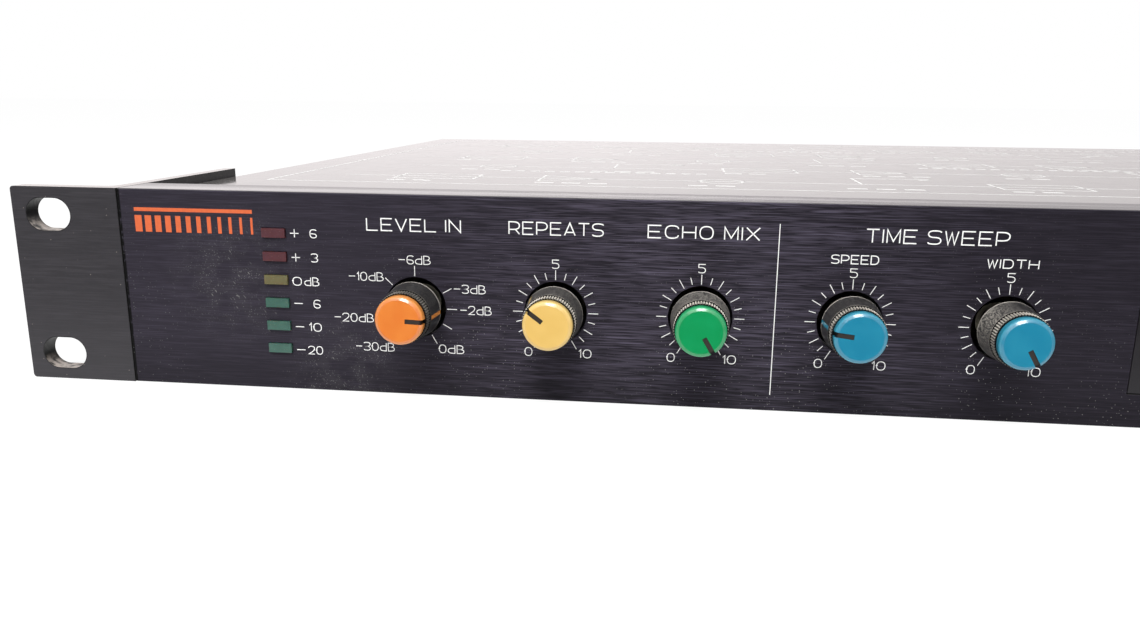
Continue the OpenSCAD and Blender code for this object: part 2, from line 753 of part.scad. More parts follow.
// Places of the screws that hold the boards behind the panel, the power switch, the regulators,
// the main board and the transformer
module panel_board_screws() {
    for (z = meter_screw_z) at(meter_screw_x, z) children();
    for (s = [-1, 1]) at(fascia_mid + s * (fascia_w / 2 - key_board_margin - head_d), key_screw_z) children();
}
module power_screws() {
    for (s = [-1, 1]) at(power_x, mid_z + s * (power_body_h / 2 + power_lug_screw)) children();
}
module regulator_screws() {
    for (x = regulator_x) at(x, regulator_screw_z) children();
}
module pillar_places() {
    for (x = pillar_x, y = pillar_y) translate([x, y, 0]) children();
}
module mains_screws() {
    for (s = [-1, 1]) translate([mains_x + s * (core_w / 2 + frame_t + foot_w / 2), mains_y, 0]) children();
}
module inner_screws() {
    color("#b8b8ba") {
        boss_places() translate([0, wall_back, 0]) screw_to_front(screw_len);
        panel_board_screws() translate([0, board_front, 0]) screw_to_back(board_t + tray_t);
        power_screws() translate([0, wall_back + frame_t, 0]) screw_to_front(frame_t + tray_t);
        regulator_screws() translate([0, rear_in - tab_t, 0]) screw_to_back(tab_t + tray_t);
        pillar_places() translate([0, 0, board_top]) pan_screw(board_t + screw_bite - cut);
        mains_screws() translate([0, 0, floor_z + frame_t]) pan_screw(frame_t + tray_t);
    }
}

// Lamp with a flat lens, a collar behind the panel and two legs down to its board
module level_lamp() {
    collar = 0.6;
    slab(lamp_w, lamp_h, -lamp_out, lamp_body);
    slab(lamp_w + collar, lamp_h + collar, plate_t + joint_gap, lamp_body);
    for (s = [-1, 1]) at(s * lamp_w / 4, 0) slab(leg_w, leg_w, lamp_body - cut / 2, board_front);
}
module lamp_group(first, last) {
    for (i = [first:last]) at(lamp_x, lamp_rows[i]) level_lamp();
}
module level_lamps_red() { color("#7a2c36") lamp_group(0, 1); }
module level_lamp_yellow() { color("#8a7a3c") lamp_group(2, 2); }
module level_lamps_green() { color("#2f8a68") lamp_group(3, 5); }
module meter_board() {
    color("#3c6b3a") difference() {
        at(lamp_x + meter_shift, (meter_z0 + meter_z1) / 2)
            slab(meter_w, meter_z1 - meter_z0, board_front, wall_y);
        panel_board_screws() rod(screw_d + 2 * screw_clear, board_front - cut, wall_y + cut);
    }
}

// Potentiometer: round can behind the chassis wall, threaded bush through it, three solder tags
module potentiometer() {
    difference() {
        union() {
            rod(bush_d, wall_y - bush_len, wall_back + cut);
            rod(pot_d, wall_back, wall_back + pot_len);
            for (i = [-1:1]) at(i * tag_pitch, pot_d / 2 - pot_wall + tag_len / 2)
                slab(tag_w, tag_len, wall_back + pot_wall, wall_back + pot_wall + tag_t);
        }
        rod(shaft_d + 2 * running, wall_y - bush_len - cut, shaft_socket);
    }
}
module potentiometers() { color("#a9a79c") for (x = dial_x) at(x, knob_z) potentiometer(); }
module pot_washers() {
    color("#c4c4c2") for (x = dial_x) at(x, knob_z) difference() {
        rod(washer_d, wall_y - washer_t, wall_y);
        rod(bush_d + 2 * screw_clear, wall_y - washer_t - cut, wall_y + cut);
    }
}
module hex_nut(af, bore, y0, y1) {
    difference() {
        translate([0, y0, 0]) rotate([-90, 0, 0]) cylinder(d = af / cos(30), h = y1 - y0, $fn = 6);
        rod(bore, y0 - cut, y1 + cut);
    }
}
module pot_nuts() {
    color("#c8b878") for (x = dial_x) at(x, knob_z)
        hex_nut(bush_nut_af, bush_d + 2 * thread_fit, wall_y - washer_t - bush_nut_t, wall_y - washer_t);
}

// Section of a shaft end with its flat; grow is the clearance of a hole around it
module d_section(grow) {
    r = shaft_d / 2 + grow;
    intersection() {
        circle(r);
        translate([-r, -r]) square([2 * r, 2 * r - flat_depth]);
    }
}
// The knob parts stand on the panel face: their own Z is the dial's axis, towards the user, and
// their own Y is the pointer
module dial(i) { at(dial_x[i], knob_z) rotate([90, 0, 0]) rotate([0, 0, -pointer_angle[i]]) children(); }
module shaft(i) {
    back = shaft_socket - joint_gap;
    flat = shaft_grip + knob_gap;
    color("#c9c9c6") dial(i) {
        translate([0, 0, -back]) cylinder(d = shaft_d, h = back + knob_gap / 2);
        linear_extrude(flat) d_section(0);
    }
}
module knob(i) {
    foot = knob_gap;
    collar = foot + skirt_len;
    seat = collar + knurl_len + cap_gap;
    lip = skirt_lip;
    boss = shaft_d + 2 * skirt_wall;
    hollow = skirt_len - knob_floor;
    taper = atan((skirt_d - collar_d) / 2 / skirt_len);
    teeth = [for (k = [0:2 * knurl_n - 1])
        let (r = knurl_d / 2 - (k % 2) * knurl_depth, a = k * 180 / knurl_n) [r * cos(a), r * sin(a)]];
    color("#1f1e21") dial(i) difference() {
        union() {
            rotate_extrude() polygon([[0, foot], [skirt_d / 2 - lip, foot], [skirt_d / 2, foot + lip],
                [collar_d / 2, collar], [0, collar]]);
            translate([0, 0, collar]) linear_extrude(knurl_len) polygon(teeth);
            translate([0, 0, collar]) cylinder(d = cap_d - 2 * cap_gap, h = seat - collar);
            translate([-pointer_w / 2, pointer_start, seat - cap_gap / 2])
                cube([pointer_w, cap_d / 2 - cap_round / 2 - pointer_start,
                    cap_t - pointer_sink + cap_gap / 2]);
        }
        translate([0, 0, foot - cut]) linear_extrude(shaft_grip + cut + joint_gap) d_section(running);
        difference() {
            translate([0, 0, foot - cut]) cylinder(d = collar_d - 2 * skirt_wall, h = hollow + cut);
            cylinder(d = boss, h = collar);
        }
        translate([-index_w / 2, collar_d / 2 - index_depth, collar - lip]) rotate([taper, 0, 0])
            translate([0, 0, -skirt_len - cut]) cube([index_w, cut, skirt_len + cut]);
    }
}
module cap(i) {
    seat = knob_gap + skirt_len + knurl_len + cap_gap;
    color(cap_tint[i]) dial(i) difference() {
        translate([0, 0, seat]) rotate_extrude() {
            square([cap_d / 2 - cap_round, cap_t]);
            square([cap_d / 2, cap_t - cap_round]);
            translate([cap_d / 2 - cap_round, cap_t - cap_round]) intersection() {
                circle(cap_round);
                square(cap_round);
            }
        }
        translate([-pointer_w / 2, pointer_start, seat - cut]) cube([pointer_w, cap_d, cap_t + 2 * cut]);
    }
}

// Moulded fascia: plate with a display opening, key and lamp holes, and a rim behind the panel
module control_fascia() {
    in_w = fascia_w - 2 * fascia_gap;
    in_h = fascia_h - 2 * fascia_gap;
    color("#1d1d20") difference() {
        at(fascia_mid, mid_z) difference() {
            union() {
                slab(in_w, in_h, fascia_sink, rim_back);
                slab(fascia_w + 2 * fascia_rim, fascia_h + 2 * fascia_rim, plate_t, rim_back);
            }
            slab(in_w - 2 * fascia_wall, in_h - 2 * fascia_wall, fascia_back, rim_back + cut);
        }
        at(window_x, mid_z) {
            slab(window_w + 2 * window_clear, window_h + 2 * window_clear, 0, fascia_sink + window_t);
            slab(window_w - 2 * window_ledge, window_h - 2 * window_ledge, 0, fascia_back + cut);
        }
        for (x = key_x) at(x, key_z) along_y(0, fascia_back + cut)
            rounded(key_w + 2 * key_clear, key_h + 2 * key_clear, key_r + key_clear);
        for (i = [plain_key_n:key_n - 1]) at(key_x[i], key_lamp_z)
            rod(key_lamp_d + 2 * lamp_clear, 0, fascia_back + cut);
    }
}
module display_window() {
    color("#3a1416") at(window_x, mid_z) slab(window_w, window_h, fascia_sink, fascia_sink + window_t);
}
module digit_module() {
    color("#2a2a2c") at(window_x, mid_z) slab(digits_w, digits_h, board_front - digits_t, board_front);
}
module key_board() {
    color("#3c6b3a") difference() {
        at(fascia_mid, mid_z)
            slab(fascia_w - 2 * key_board_margin, fascia_h - 2 * key_board_rim, board_front, wall_y);
        panel_board_screws() rod(screw_d + 2 * screw_clear, board_front - cut, wall_y + cut);
    }
}
module key_switches() {
    hole_end = switch_front + plunger_in + key_travel + over_travel;
    color("#2c2c2e") for (x = key_x) at(x, key_z) difference() {
        slab(switch_w, switch_w, switch_front, board_front);
        rod(plunger_d + 2 * plunger_clear, switch_front - cut, hole_end);
    }
}
module key_lamps() {
    r = key_lamp_d / 2;
    tip = r / 2;
    foot = fascia_back + key_lamp_foot;
    color("#8c2028") for (i = [plain_key_n:key_n - 1]) at(key_x[i], key_lamp_z) {
        translate([0, tip, 0]) sphere(r);
        rod(key_lamp_d, tip, foot);
        rod(key_lamp_d + 2 * key_lamp_flange, foot - 2 * key_lamp_flange, foot);
        for (s = [-1, 1]) at(s * r / 2, 0) slab(leg_w, leg_w, foot - cut / 2, board_front);
    }
}
module key(i) {
    flange_y = fascia_back + joint_gap;
    bevel = 0.4;
    color(i > 5 ? "#8d8c88" : "#55555a") at(key_x[i], key_z) {
        along_y(fascia_sink - key_out, fascia_sink - key_out + bevel)
            rounded(key_w - 2 * bevel, key_h - 2 * bevel, key_r);
        along_y(fascia_sink - key_out + bevel, flange_y + key_flange_t) rounded(key_w, key_h, key_r);
        slab(key_w, key_h + 2 * key_flange, flange_y, flange_y + key_flange_t);
        rod(plunger_d, flange_y, switch_front + plunger_in);
    }
}

module power_button() {
    bevel = 0.5;
    color("#6a6a6c") at(power_x, mid_z) {
        along_y(-power_out, -power_out + bevel) rounded(power_w - 2 * bevel, power_h - 2 * bevel, key_r);
        along_y(-power_out + bevel, power_foot) rounded(power_w, power_h, key_r);
        slab(stem_w, stem_w, power_foot - cut, wall_back + stem_in);
    }
}
module power_switch() {
    color("#303033") difference() {
        at(power_x, mid_z) difference() {
            union() {
                slab(power_body_w, power_body_h, wall_back, wall_back + power_switch_len);
                slab(power_body_w, power_body_h + 2 * power_lug, wall_back, wall_back + frame_t);
                for (x = [-1, 1], z = [-1, 1]) at(x * power_body_w / 4, z * power_body_h / 4)
                    slab(2 * tag_w, tag_t, wall_back + power_switch_len - cut,
                        wall_back + power_switch_len + tag_len);
            }
            slab(stem_hole, stem_hole, wall_back - cut, wall_back + stem_in + power_travel + over_travel);
        }
        power_screws() rod(screw_d + 2 * screw_clear, wall_back - cut, wall_back + frame_t + cut);
    }
}

module main_board() {
    color("#3c6b3a") difference() {
        block(board_x0, board_x1, board_y0, board_y1, board_z, board_top);
        pillar_places() translate([0, 0, board_z - cut])
            cylinder(d = screw_d + 2 * screw_clear, h = board_t + 2 * cut);
    }
}
// Hexagonal pillars riveted into the floor of the tray
module board_pillars() {
    color("#c8c8c6") pillar_places() difference() {
        union() {
            translate([0, 0, floor_z]) cylinder(d = pillar_d / cos(30), h = pillar_h, $fn = 6);
            translate([0, 0, stud_sink]) cylinder(d = pillar_stud_d - 2 * thread_fit, h = floor_z);
        }
        translate([0, 0, board_z - screw_bite]) cylinder(d = screw_d + 2 * thread_fit, h = screw_bite + cut);
    }
}

// Chip with its body held off the board by two rows of legs
module chip(w, l) {
    translate([-w / 2, -l / 2, board_top + chip_lift]) difference() {
        cube([w, l, chip_h]);
        translate([w / 2, 0, chip_h - chip_notch / 4]) cylinder(d = chip_notch, h = chip_notch);
    }
    for (s = [-1, 1]) translate([s * (w + chip_leg) / 2, 0, board_top + (chip_lift + chip_h / 2) / 2])
        cube([chip_leg, l - chip_notch, chip_lift + chip_h / 2], center = true);
}
module logic_chips() {
    big_x = chip_first_x + (chip_columns + 1) * chip_pitch_x;
    big_y = chip_first_y + (big_chip_l - chip_l) / 2;
    color("#232325") {
        for (c = [0:chip_columns - 1], r = [0:2])
            translate([chip_first_x + c * chip_pitch_x, chip_first_y + r * chip_pitch_y, 0])
                chip(chip_w, chip_l);
        for (r = [0:1]) translate([big_x, big_y + r * 2 * chip_pitch_y, 0]) chip(big_chip_w, big_chip_l);
    }
}
module can_capacitor(d, h) {
    difference() {
        translate([0, 0, board_top]) cylinder(d = d, h = h);
        translate([0, 0, board_top + can_bead]) difference() {
            cylinder(d = d + can_bead, h = can_bead);
            cylinder(d = d - can_bead / 2, h = can_bead);
        }
    }
}
module capacitors() {
    color("#28405e") {
        for (r = [0:1]) translate([power_column_x, board_y0 + big_can_front + r * big_can_pitch, 0])
            can_capacitor(big_can_d, big_can_h);
        for (r = [0:5]) translate([board_x0 + small_can_left, chip_first_y + r * small_can_pitch, 0])
            can_capacitor(small_can_d, small_can_h);
    }
}
// Regulators bolted flat to the inside of the rear wall, with their legs down to the board
module regulators() {
    legs_y = rear_in - regulator_t / 2;
    color("#2a2a2c") difference() {
        for (x = regulator_x) at(x, board_top + regulator_legs) {
            at(0, regulator_body / 2) slab(regulator_w, regulator_body, rear_in - regulator_t, rear_in);
            at(0, regulator_h / 2) slab(regulator_w, regulator_h, rear_in - tab_t, rear_in);
            for (i = [-1:1]) at(i * regulator_w / 4, (cut - regulator_legs) / 2)
                slab(2 * leg_w, regulator_legs + cut, legs_y - leg_w, legs_y);
        }
        regulator_screws() rod(screw_d + 2 * screw_clear, rear_in - regulator_t - cut, rear_in + cut);
    }
}
// Open fuse holder: base, two clips and the glass fuse between them
module fuse_holder() {
    base_h = fuse_d * 0.6;
    clip = fuse_d;
    clip_w = fuse_d * 1.4;
    mouth = fuse_d * 0.8;
    base_w = clip_w + 2 * clip_wall;
    base_l = fuse_l + 4 * clip_wall;
    axis_z = base_h + fuse_d / 2 + clip_wall / 2;
    color("#d8d8d2") translate([power_column_x, board_y0 + fuse_front, board_top]) {
        translate([-base_w / 2, -base_l / 2, 0]) cube([base_w, base_l, base_h]);
        for (s = [-1, 1]) translate([0, s * (fuse_l - clip) / 2, 0]) difference() {
            at(0, base_h + fuse_d / 2) slab(clip_w, fuse_d, -clip / 2, clip / 2);
            at(0, axis_z) rod(fuse_d, -clip, clip);
            at(0, axis_z + fuse_d / 2) slab(mouth, fuse_d, -clip, clip);
        }
        at(0, axis_z) rod(fuse_d - 2 * thread_fit, -fuse_l / 2, fuse_l / 2);
    }
}

// Transformer: laminated core with two windows, a winding around its middle limb, and a strap
module transformer_core() {
    window = (core_w - 4 * limb_w) / 2;
    color("#7d7a76") translate([mains_x, mains_y, core_z]) difference() {
        translate([-core_w / 2, -core_l / 2, 0]) cube([core_w, core_l, core_h]);
        for (s = [-1, 1]) translate([s * (limb_w + window / 2) - window / 2, -core_l / 2 + limb_w, -cut])
            cube([window, core_l - 2 * limb_w, core_h + 2 * cut]);
    }
}
module transformer_coil() {
    window = (core_w - 4 * limb_w) / 2;
    coil_w = 2 * limb_w + 2 * window - 2 * coil_fit;
    coil_l = core_l - 2 * limb_w - 2 * coil_fit;
    color("#b9873c") translate([mains_x, mains_y - coil_l / 2, core_z + core_h / 2]) difference() {
        along_y(0, coil_l) rounded(coil_w, coil_h, coil_round);
        slab(2 * limb_w + 2 * coil_fit, core_h + 2 * coil_fit, -cut, coil_l + cut);
    }
}
module transformer_frame() {
    strap_w = limb_w - 2 * frame_t;
    top = core_z + core_h + joint_gap;
    leg_x = core_w / 2 + joint_gap;
    color("#b4b4b0") translate([mains_x, mains_y, 0]) difference() {
        union() {
            for (s = [-1, 1]) translate([0, s * (core_l / 2 - limb_w / 2), 0])
                block(-leg_x - frame_t, leg_x + frame_t, -strap_w / 2, strap_w / 2, top, top + frame_t);
            both_sides() {
                block(leg_x, leg_x + frame_t, -core_l / 2, core_l / 2, floor_z, top + frame_t);
                block(leg_x, leg_x + frame_t + foot_w, -core_l / 2, core_l / 2, floor_z, floor_z + frame_t);
            }
        }
        for (s = [-1, 1]) translate([s * (core_w / 2 + frame_t + foot_w / 2), 0, 0])
            cylinder(d = screw_d + 2 * screw_clear, h = core_z);
    }
}
// Ribbon cable from the key board, through the chassis wall and down to the main board
module ribbon_cable() {
    r = ribbon_bend;
    z = ribbon_z + ribbon_t / 2;
    color("#8f8f92") translate([ribbon_x, 0, 0]) along_x(-ribbon_w / 2, ribbon_w / 2) {
        translate([wall_y, z - ribbon_t]) square([ribbon_drop_y - r - wall_y, ribbon_t]);
        translate([ribbon_drop_y - r, z - r]) intersection() {
            difference() {
                circle(r);
                circle(r - ribbon_t);
            }
            square(r);
        }
        translate([ribbon_drop_y - ribbon_t, board_top]) square([ribbon_t, z - r - board_top]);
    }
}

// Phone jack: square housing inside, threaded bush through the back, blind hole for the plug
module phone_jack() {
    end_wall = 2;
    difference() {
        union() {
            slab(jack_w, jack_w, rear_in - jack_len, rear_in);
            rod(jack_bush_d, rear_in - cut, body_depth + jack_out);
        }
        rod(jack_bore_d, rear_in - jack_len + end_wall, body_depth + jack_out + cut);
    }
}
module phone_jacks() { color("#242426") for (x = jack_x) at(x, back_z) phone_jack(); }
module jack_nuts() {
    color("#c0c0be") for (x = jack_x) at(x, back_z)
        hex_nut(jack_nut_af, jack_bush_d + 2 * thread_fit, body_depth, body_depth + jack_nut_t);
}
module level_switch() {
    channel = slider_w + level_travel + 2 * level_clear;
    flange_w = level_body_w + 2 * level_lug;
    color("#9a9a98") at(level_x, back_z) difference() {
        union() {
            slab(level_body_w, level_body_h, rear_in - level_depth - level_wall, rear_in);
            slab(flange_w, level_body_h, rear_in - frame_t, rear_in);
        }
        slab(channel, slider_h + 2 * level_clear, rear_in - level_depth - level_clear, rear_in + cut);
    }
}
module level_slider() {
    groove = 0.5;
    color("#1c1c1e") at(level_x - level_travel / 2, back_z) difference() {
        slab(slider_w, slider_h, rear_in - level_depth, body_depth + slider_out);
        for (i = [-1:1]) at(i * slider_w / 4, 0)
            slab(groove, slider_h + cut, body_depth + slider_out - groove, body_depth + slider_out + cut);
    }
}
// Cord gland: flanged bush that grips the edge of its hole, with a rounded mouth
module cord_gland() {
    bore = gland_bore_d / 2;
    neck = gland_neck_d / 2;
    flange = neck + gland_flange;
    mouth = gland_wall * 0.4;
    color("#202022") at(gland_x, back_z) translate([0, body_depth, 0]) rotate([-90, 0, 0]) rotate_extrude()
        polygon([[bore, -tray_t - gland_in], [neck - mouth, -tray_t - gland_in],
            [neck, -tray_t - gland_in / 2], [neck, 0], [flange, 0], [flange, gland_flange],
            [neck, gland_flange + mouth], [neck - mouth, gland_out], [bore, gland_out]]);
}

place() front_panel();
place() rack_ear_left();
place() rack_ear_right();
place() chassis_tray();
place() top_cover();
place() case_screws();
place() inner_screws();
place() level_lamps_red();
place() level_lamp_yellow();
place() level_lamps_green();
place() meter_board();
place() potentiometers();
place() pot_washers();
place() pot_nuts();
place() shaft(0);  // shaft_input
place() shaft(1);  // shaft_feedback
place() shaft(2);  // shaft_output
place() shaft(3);  // shaft_rate
place() shaft(4);  // shaft_depth
place() knob(0);  // knob_input
place() knob(1);  // knob_feedback
place() knob(2);  // knob_output
place() knob(3);  // knob_rate
place() knob(4);  // knob_depth
place() cap(0);  // cap_input
place() cap(1);  // cap_feedback
place() cap(2);  // cap_output
place() cap(3);  // cap_rate
place() cap(4);  // cap_depth
place() control_fascia();
place() display_window();
place() digit_module();
place() key_board();
place() key_switches();
place() key_lamps();
place() key(0);  // key_time_down
place() key(1);  // key_time_up
place() key(2);  // key_memory_1
place() key(3);  // key_memory_2
place() key(4);  // key_memory_3
place() key(5);  // key_memory_4
place() key(6);  // key_hold
place() key(7);  // key_bypass
place() power_button();
place() power_switch();
place() main_board();
place() board_pillars();
place() logic_chips();
place() capacitors();
place() regulators();
place() fuse_holder();
place() transformer_core();
place() transformer_coil();
place() transformer_frame();
place() ribbon_cable();
place() phone_jacks();
place() jack_nuts();
place() level_switch();
place() level_slider();
place() cord_gland();
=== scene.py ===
import json
import math

import bmesh
import bpy
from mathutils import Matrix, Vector


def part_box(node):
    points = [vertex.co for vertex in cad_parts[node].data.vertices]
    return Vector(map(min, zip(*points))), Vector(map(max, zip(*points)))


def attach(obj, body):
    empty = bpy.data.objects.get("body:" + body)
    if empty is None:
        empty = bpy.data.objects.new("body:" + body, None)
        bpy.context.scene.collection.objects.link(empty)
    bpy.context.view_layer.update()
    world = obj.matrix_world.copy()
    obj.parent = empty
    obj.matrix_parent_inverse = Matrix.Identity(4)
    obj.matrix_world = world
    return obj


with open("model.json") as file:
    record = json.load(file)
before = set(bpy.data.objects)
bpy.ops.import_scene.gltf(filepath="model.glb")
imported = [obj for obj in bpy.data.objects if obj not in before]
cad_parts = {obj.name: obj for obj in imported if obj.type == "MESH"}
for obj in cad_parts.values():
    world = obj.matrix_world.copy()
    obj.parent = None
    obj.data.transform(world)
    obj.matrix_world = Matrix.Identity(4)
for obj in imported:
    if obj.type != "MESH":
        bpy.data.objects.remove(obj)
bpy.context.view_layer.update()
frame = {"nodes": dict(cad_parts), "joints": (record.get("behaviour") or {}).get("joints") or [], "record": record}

scene = bpy.context.scene
scene.view_settings.view_transform = "Standard"

# Camera
# A phone held low in front of the left half of the unit, close to the panel and a little above it,
# so that the top is seen at a glancing angle.
MM = 0.001
camera = bpy.data.objects.new("camera", bpy.data.cameras.new("camera"))
camera.data.lens = 29.49
camera.data.sensor_width = 36
camera.data.clip_start = 5 * MM
camera.location = Vector((-93.5, -326.2, 64.8)) * MM
camera.rotation_euler = [math.radians(turn) for turn in (76.35, -0.51, 6.86)]
scene.collection.objects.link(camera)
scene.camera = camera


# Studio
# A plain white floor in a plain white surround, with a small and a wide soft lamp overhead and one in
# front, at levels where a colour renders about as written. Cards out of sight show in reflections alone:
# dark ones in front keep black paint deep, and a pale one behind gives the top its glare.
def node(tree, kind, inputs, **settings):
    """A shader node whose sockets take the given values, or links where the value is a socket."""
    made = tree.nodes.new("ShaderNode" + kind)
    for name, value in settings.items():
        setattr(made, name, value)
    for socket, value in inputs.items():
        if isinstance(value, bpy.types.NodeSocket):
            tree.links.new(value, made.inputs[socket])
        else:
            made.inputs[socket].default_value = value
    return made


def math_of(tree, operation, *values):
    """The result of one sum on sockets or numbers."""
    return node(tree, "Math", dict(enumerate(values)), operation=operation).outputs[0]


def times(tree, first, second):
    """The product of two sockets or numbers."""
    return math_of(tree, "MULTIPLY", first, second)


def most(tree, first, second):
    """The larger of two sockets or numbers."""
    return math_of(tree, "MAXIMUM", first, second)


def between(tree, value, low, high, to_low=0.0, to_high=1.0):
    """The value moved from one range to another and held there."""
    inputs = {"Value": value, "From Min": low, "From Max": high, "To Min": to_low, "To Max": to_high}
    return node(tree, "MapRange", inputs).outputs["Result"]


def coordinate(tree, axis, kind="Object"):
    """One coordinate of the point on a piece, in metres, or of its normal."""
    return node(tree, "SeparateXYZ", {"Vector": node(tree, "TexCoord", {}).outputs[kind]}).outputs[axis]


def seen_plainly(tree):
    """One where a ray comes from the camera, a reflection or a clear piece, and zero for soft light."""
    path = node(tree, "LightPath", {})
    either = most(tree, path.outputs["Is Camera Ray"], path.outputs["Is Glossy Ray"])
    return most(tree, either, path.outputs["Is Transmission Ray"])


fill_level = 0.42
surround = bpy.data.worlds.new("white_surround")
surround.use_nodes = True
scene.world = surround
background = surround.node_tree.nodes["Background"]
background.inputs["Color"].default_value = (1, 1, 1, 1)
surround_level = between(surround.node_tree, seen_plainly(surround.node_tree), 0, 1, fill_level, 1)
surround.node_tree.links.new(surround_level, background.inputs["Strength"])


def sheet(name, half, start, end, made):
    """A flat sheet of the studio, no part of the unit, of a half width, from one line across to another."""
    mesh = bpy.data.meshes.new(name)
    mesh.from_pydata([(-half, *start), (half, *start), (half, *end), (-half, *end)], [], [range(4)])
    mesh.materials.append(made)
    laid = bpy.data.objects.new(name, mesh)
    scene.collection.objects.link(laid)
    return laid


def unshaded(name):
    """A new material for the studio that has no shader yet; gives the material and its tree."""
    made = bpy.data.materials.new(name)
    made.use_nodes = True
    made.node_tree.nodes.remove(made.node_tree.nodes["Principled BSDF"])
    return made, made.node_tree


def shaded(tree, shader):
    """Links a shader to the surface of a material."""
    tree.links.new(shader.outputs[0], tree.nodes["Material Output"].inputs["Surface"])


floor_level, floor_own_light = 1.1, 0.85
floor_white, floor_tree = unshaded("floor_white")
floor_shade = node(floor_tree, "BsdfDiffuse", {"Color": (0.9, 0.9, 0.9, 1)})
floor_glow = node(floor_tree, "Emission", {"Color": (1, 1, 1, 1), "Strength": floor_level})
floor_share = times(floor_tree, seen_plainly(floor_tree), floor_own_light)
floor_sides = {0: floor_share, 1: floor_shade.outputs[0], 2: floor_glow.outputs[0]}
shaded(floor_tree, node(floor_tree, "MixShader", floor_sides))
floor_half = 6.0
floor_z = -0.1 * MM
sheet("floor", floor_half, (-floor_half, floor_z), (floor_half, floor_z), floor_white)


def reflected_only(card):
    """Leaves a sheet of the studio to be seen in reflections alone."""
    card.visible_camera = card.visible_diffuse = card.visible_transmission = card.visible_shadow = False


card_black = bpy.data.materials.new("card_black")
card_black.use_nodes = True
card_black.node_tree.nodes["Principled BSDF"].inputs["Base Color"].default_value = (0.03, 0.03, 0.03, 1)
card_half, card_near, card_far, card_top = 1.6, -0.18, -1.7, 1.5
reflected_only(sheet("card_low", card_half, (card_near, 0), (card_far, 0), card_black))
reflected_only(sheet("card_tall", card_half, (card_far, 0), (card_far, card_top), card_black))

glow_white, glow_tree = unshaded("glow_white")
glow_left, glow_right = 1.14, 0.87
glow_falls_from, glow_falls_to = -0.3, 0.9
glow_x = coordinate(glow_tree, "X")
glow_level = between(glow_tree, glow_x, glow_falls_from, glow_falls_to, glow_left, glow_right)
shaded(glow_tree, node(glow_tree, "Emission", {"Color": (1, 0.945, 0.95, 1), "Strength": glow_level}))
back_half, back_y, back_top = 4, 2, 3
reflected_only(sheet("card_back", back_half, (back_y, 0), (back_y, back_top), glow_white))


def soft_lamp(name, place, aim, width, depth, power):
    """A soft lamp of a width and depth at a place, aimed at a point, that the camera doesn't see."""
    lamp = bpy.data.lights.new(name, "AREA")
    lamp.shape = "RECTANGLE"
    lamp.size = width
    lamp.size_y = depth
    lamp.energy = power
    holder = bpy.data.objects.new(name, lamp)
    holder.location = place
    holder.rotation_euler = (Vector(aim) - Vector(place)).to_track_quat("-Z", "Y").to_euler()
    holder.visible_camera = False
    scene.collection.objects.link(holder)


soft_lamp("lamp_overhead", (-0.1, -0.6, 0.86), aim=(-0.06, -0.12, 0), width=0.4, depth=0.25, power=6.5)
soft_lamp("lamp_wide", (-0.1, -0.62, 0.88), aim=(-0.06, -0.12, 0), width=1.6, depth=0.25, power=3)
soft_lamp("lamp_front", (-1.0, -1.4, 0.9), aim=(-0.05, -0.1, 0), width=1.0, depth=1.0, power=6)


# Chassis tray
# Bent steel tray that carries everything, with its walls folded up from the floor. It is powder-coated
# black, with a fine pebbled grain.
def screen(red, green, blue):
    """A shader colour from 8-bit screen values."""
    return [((v / 255 + 0.055) / 1.055) ** 2.4 for v in (red, green, blue)] + [1.0]


def finish(name, colour, roughness, **sockets):
    """A new surface finish with plain values on its shader's sockets; gives the material and its shader."""
    made = bpy.data.materials.new(name)
    made.use_nodes = True
    shader = made.node_tree.nodes["Principled BSDF"]
    shader.inputs["Base Color"].default_value = colour
    shader.inputs["Roughness"].default_value = roughness
    for socket, value in sockets.items():
        shader.inputs[socket.replace("_", " ")].default_value = value
    return made, shader


def place_of(tree, stretch=(1, 1, 1), turn=0):
    """The point on the piece, in metres, turned about the Y axis and stretched along each axis."""
    point = node(tree, "TexCoord", {}).outputs["Object"]
    inputs = {"Vector": point, "Angle": math.radians(turn)}
    rotated = node(tree, "VectorRotate", inputs, rotation_type="Y_AXIS")
    return node(tree, "Mapping", {"Vector": rotated.outputs[0], "Scale": stretch}).outputs["Vector"]


def grain(tree, size, detail=2.0, stretch=(1, 1, 1)):
    """Soft random mottling with features of about the given size in metres."""
    inputs = {"Vector": place_of(tree, stretch), "Scale": 1 / size, "Detail": detail}
    return node(tree, "TexNoise", inputs).outputs["Fac"]


def specks(tree, size, share, radius=0.14, stretch=(1, 1, 1), turn=0):
    """Mask of fine scattered dust: cells of the given size, of which about that share hold a speck."""
    cells = node(tree, "TexVoronoi", {"Vector": place_of(tree, stretch, turn), "Scale": 1 / size})
    pick = node(tree, "SeparateColor", {"Color": cells.outputs["Color"]}).outputs["Red"]
    held = math_of(tree, "GREATER_THAN", pick, 1 - share)
    near = between(tree, cells.outputs["Distance"], radius, radius * 0.6)
    return times(tree, held, near)


def facing_up(tree, low, high):
    """Mask of the faces that look up, fading between two slopes."""
    return between(tree, coordinate(tree, "Z", "Normal"), low, high)


def mixed(tree, share, first, second):
    """Two colours mixed by a share."""
    inputs = {0: share, 6: first, 7: second}
    return node(tree, "Mix", inputs, data_type="RGBA").outputs[2]


def coloured(made, shader, colour):
    """Links a colour to a finish's shader."""
    made.node_tree.links.new(colour, shader.inputs["Base Color"])


def roughened(made, shader, roughness):
    """Links a roughness to a finish's shader."""
    made.node_tree.links.new(roughness, shader.inputs["Roughness"])


def embossed(made, shader, height, depth):
    """Presses a height into a finish's surface, to a depth in metres."""
    bump = node(made.node_tree, "Bump", {"Height": height, "Distance": depth, "Strength": 1.0})
    made.node_tree.links.new(bump.outputs["Normal"], shader.inputs["Normal"])


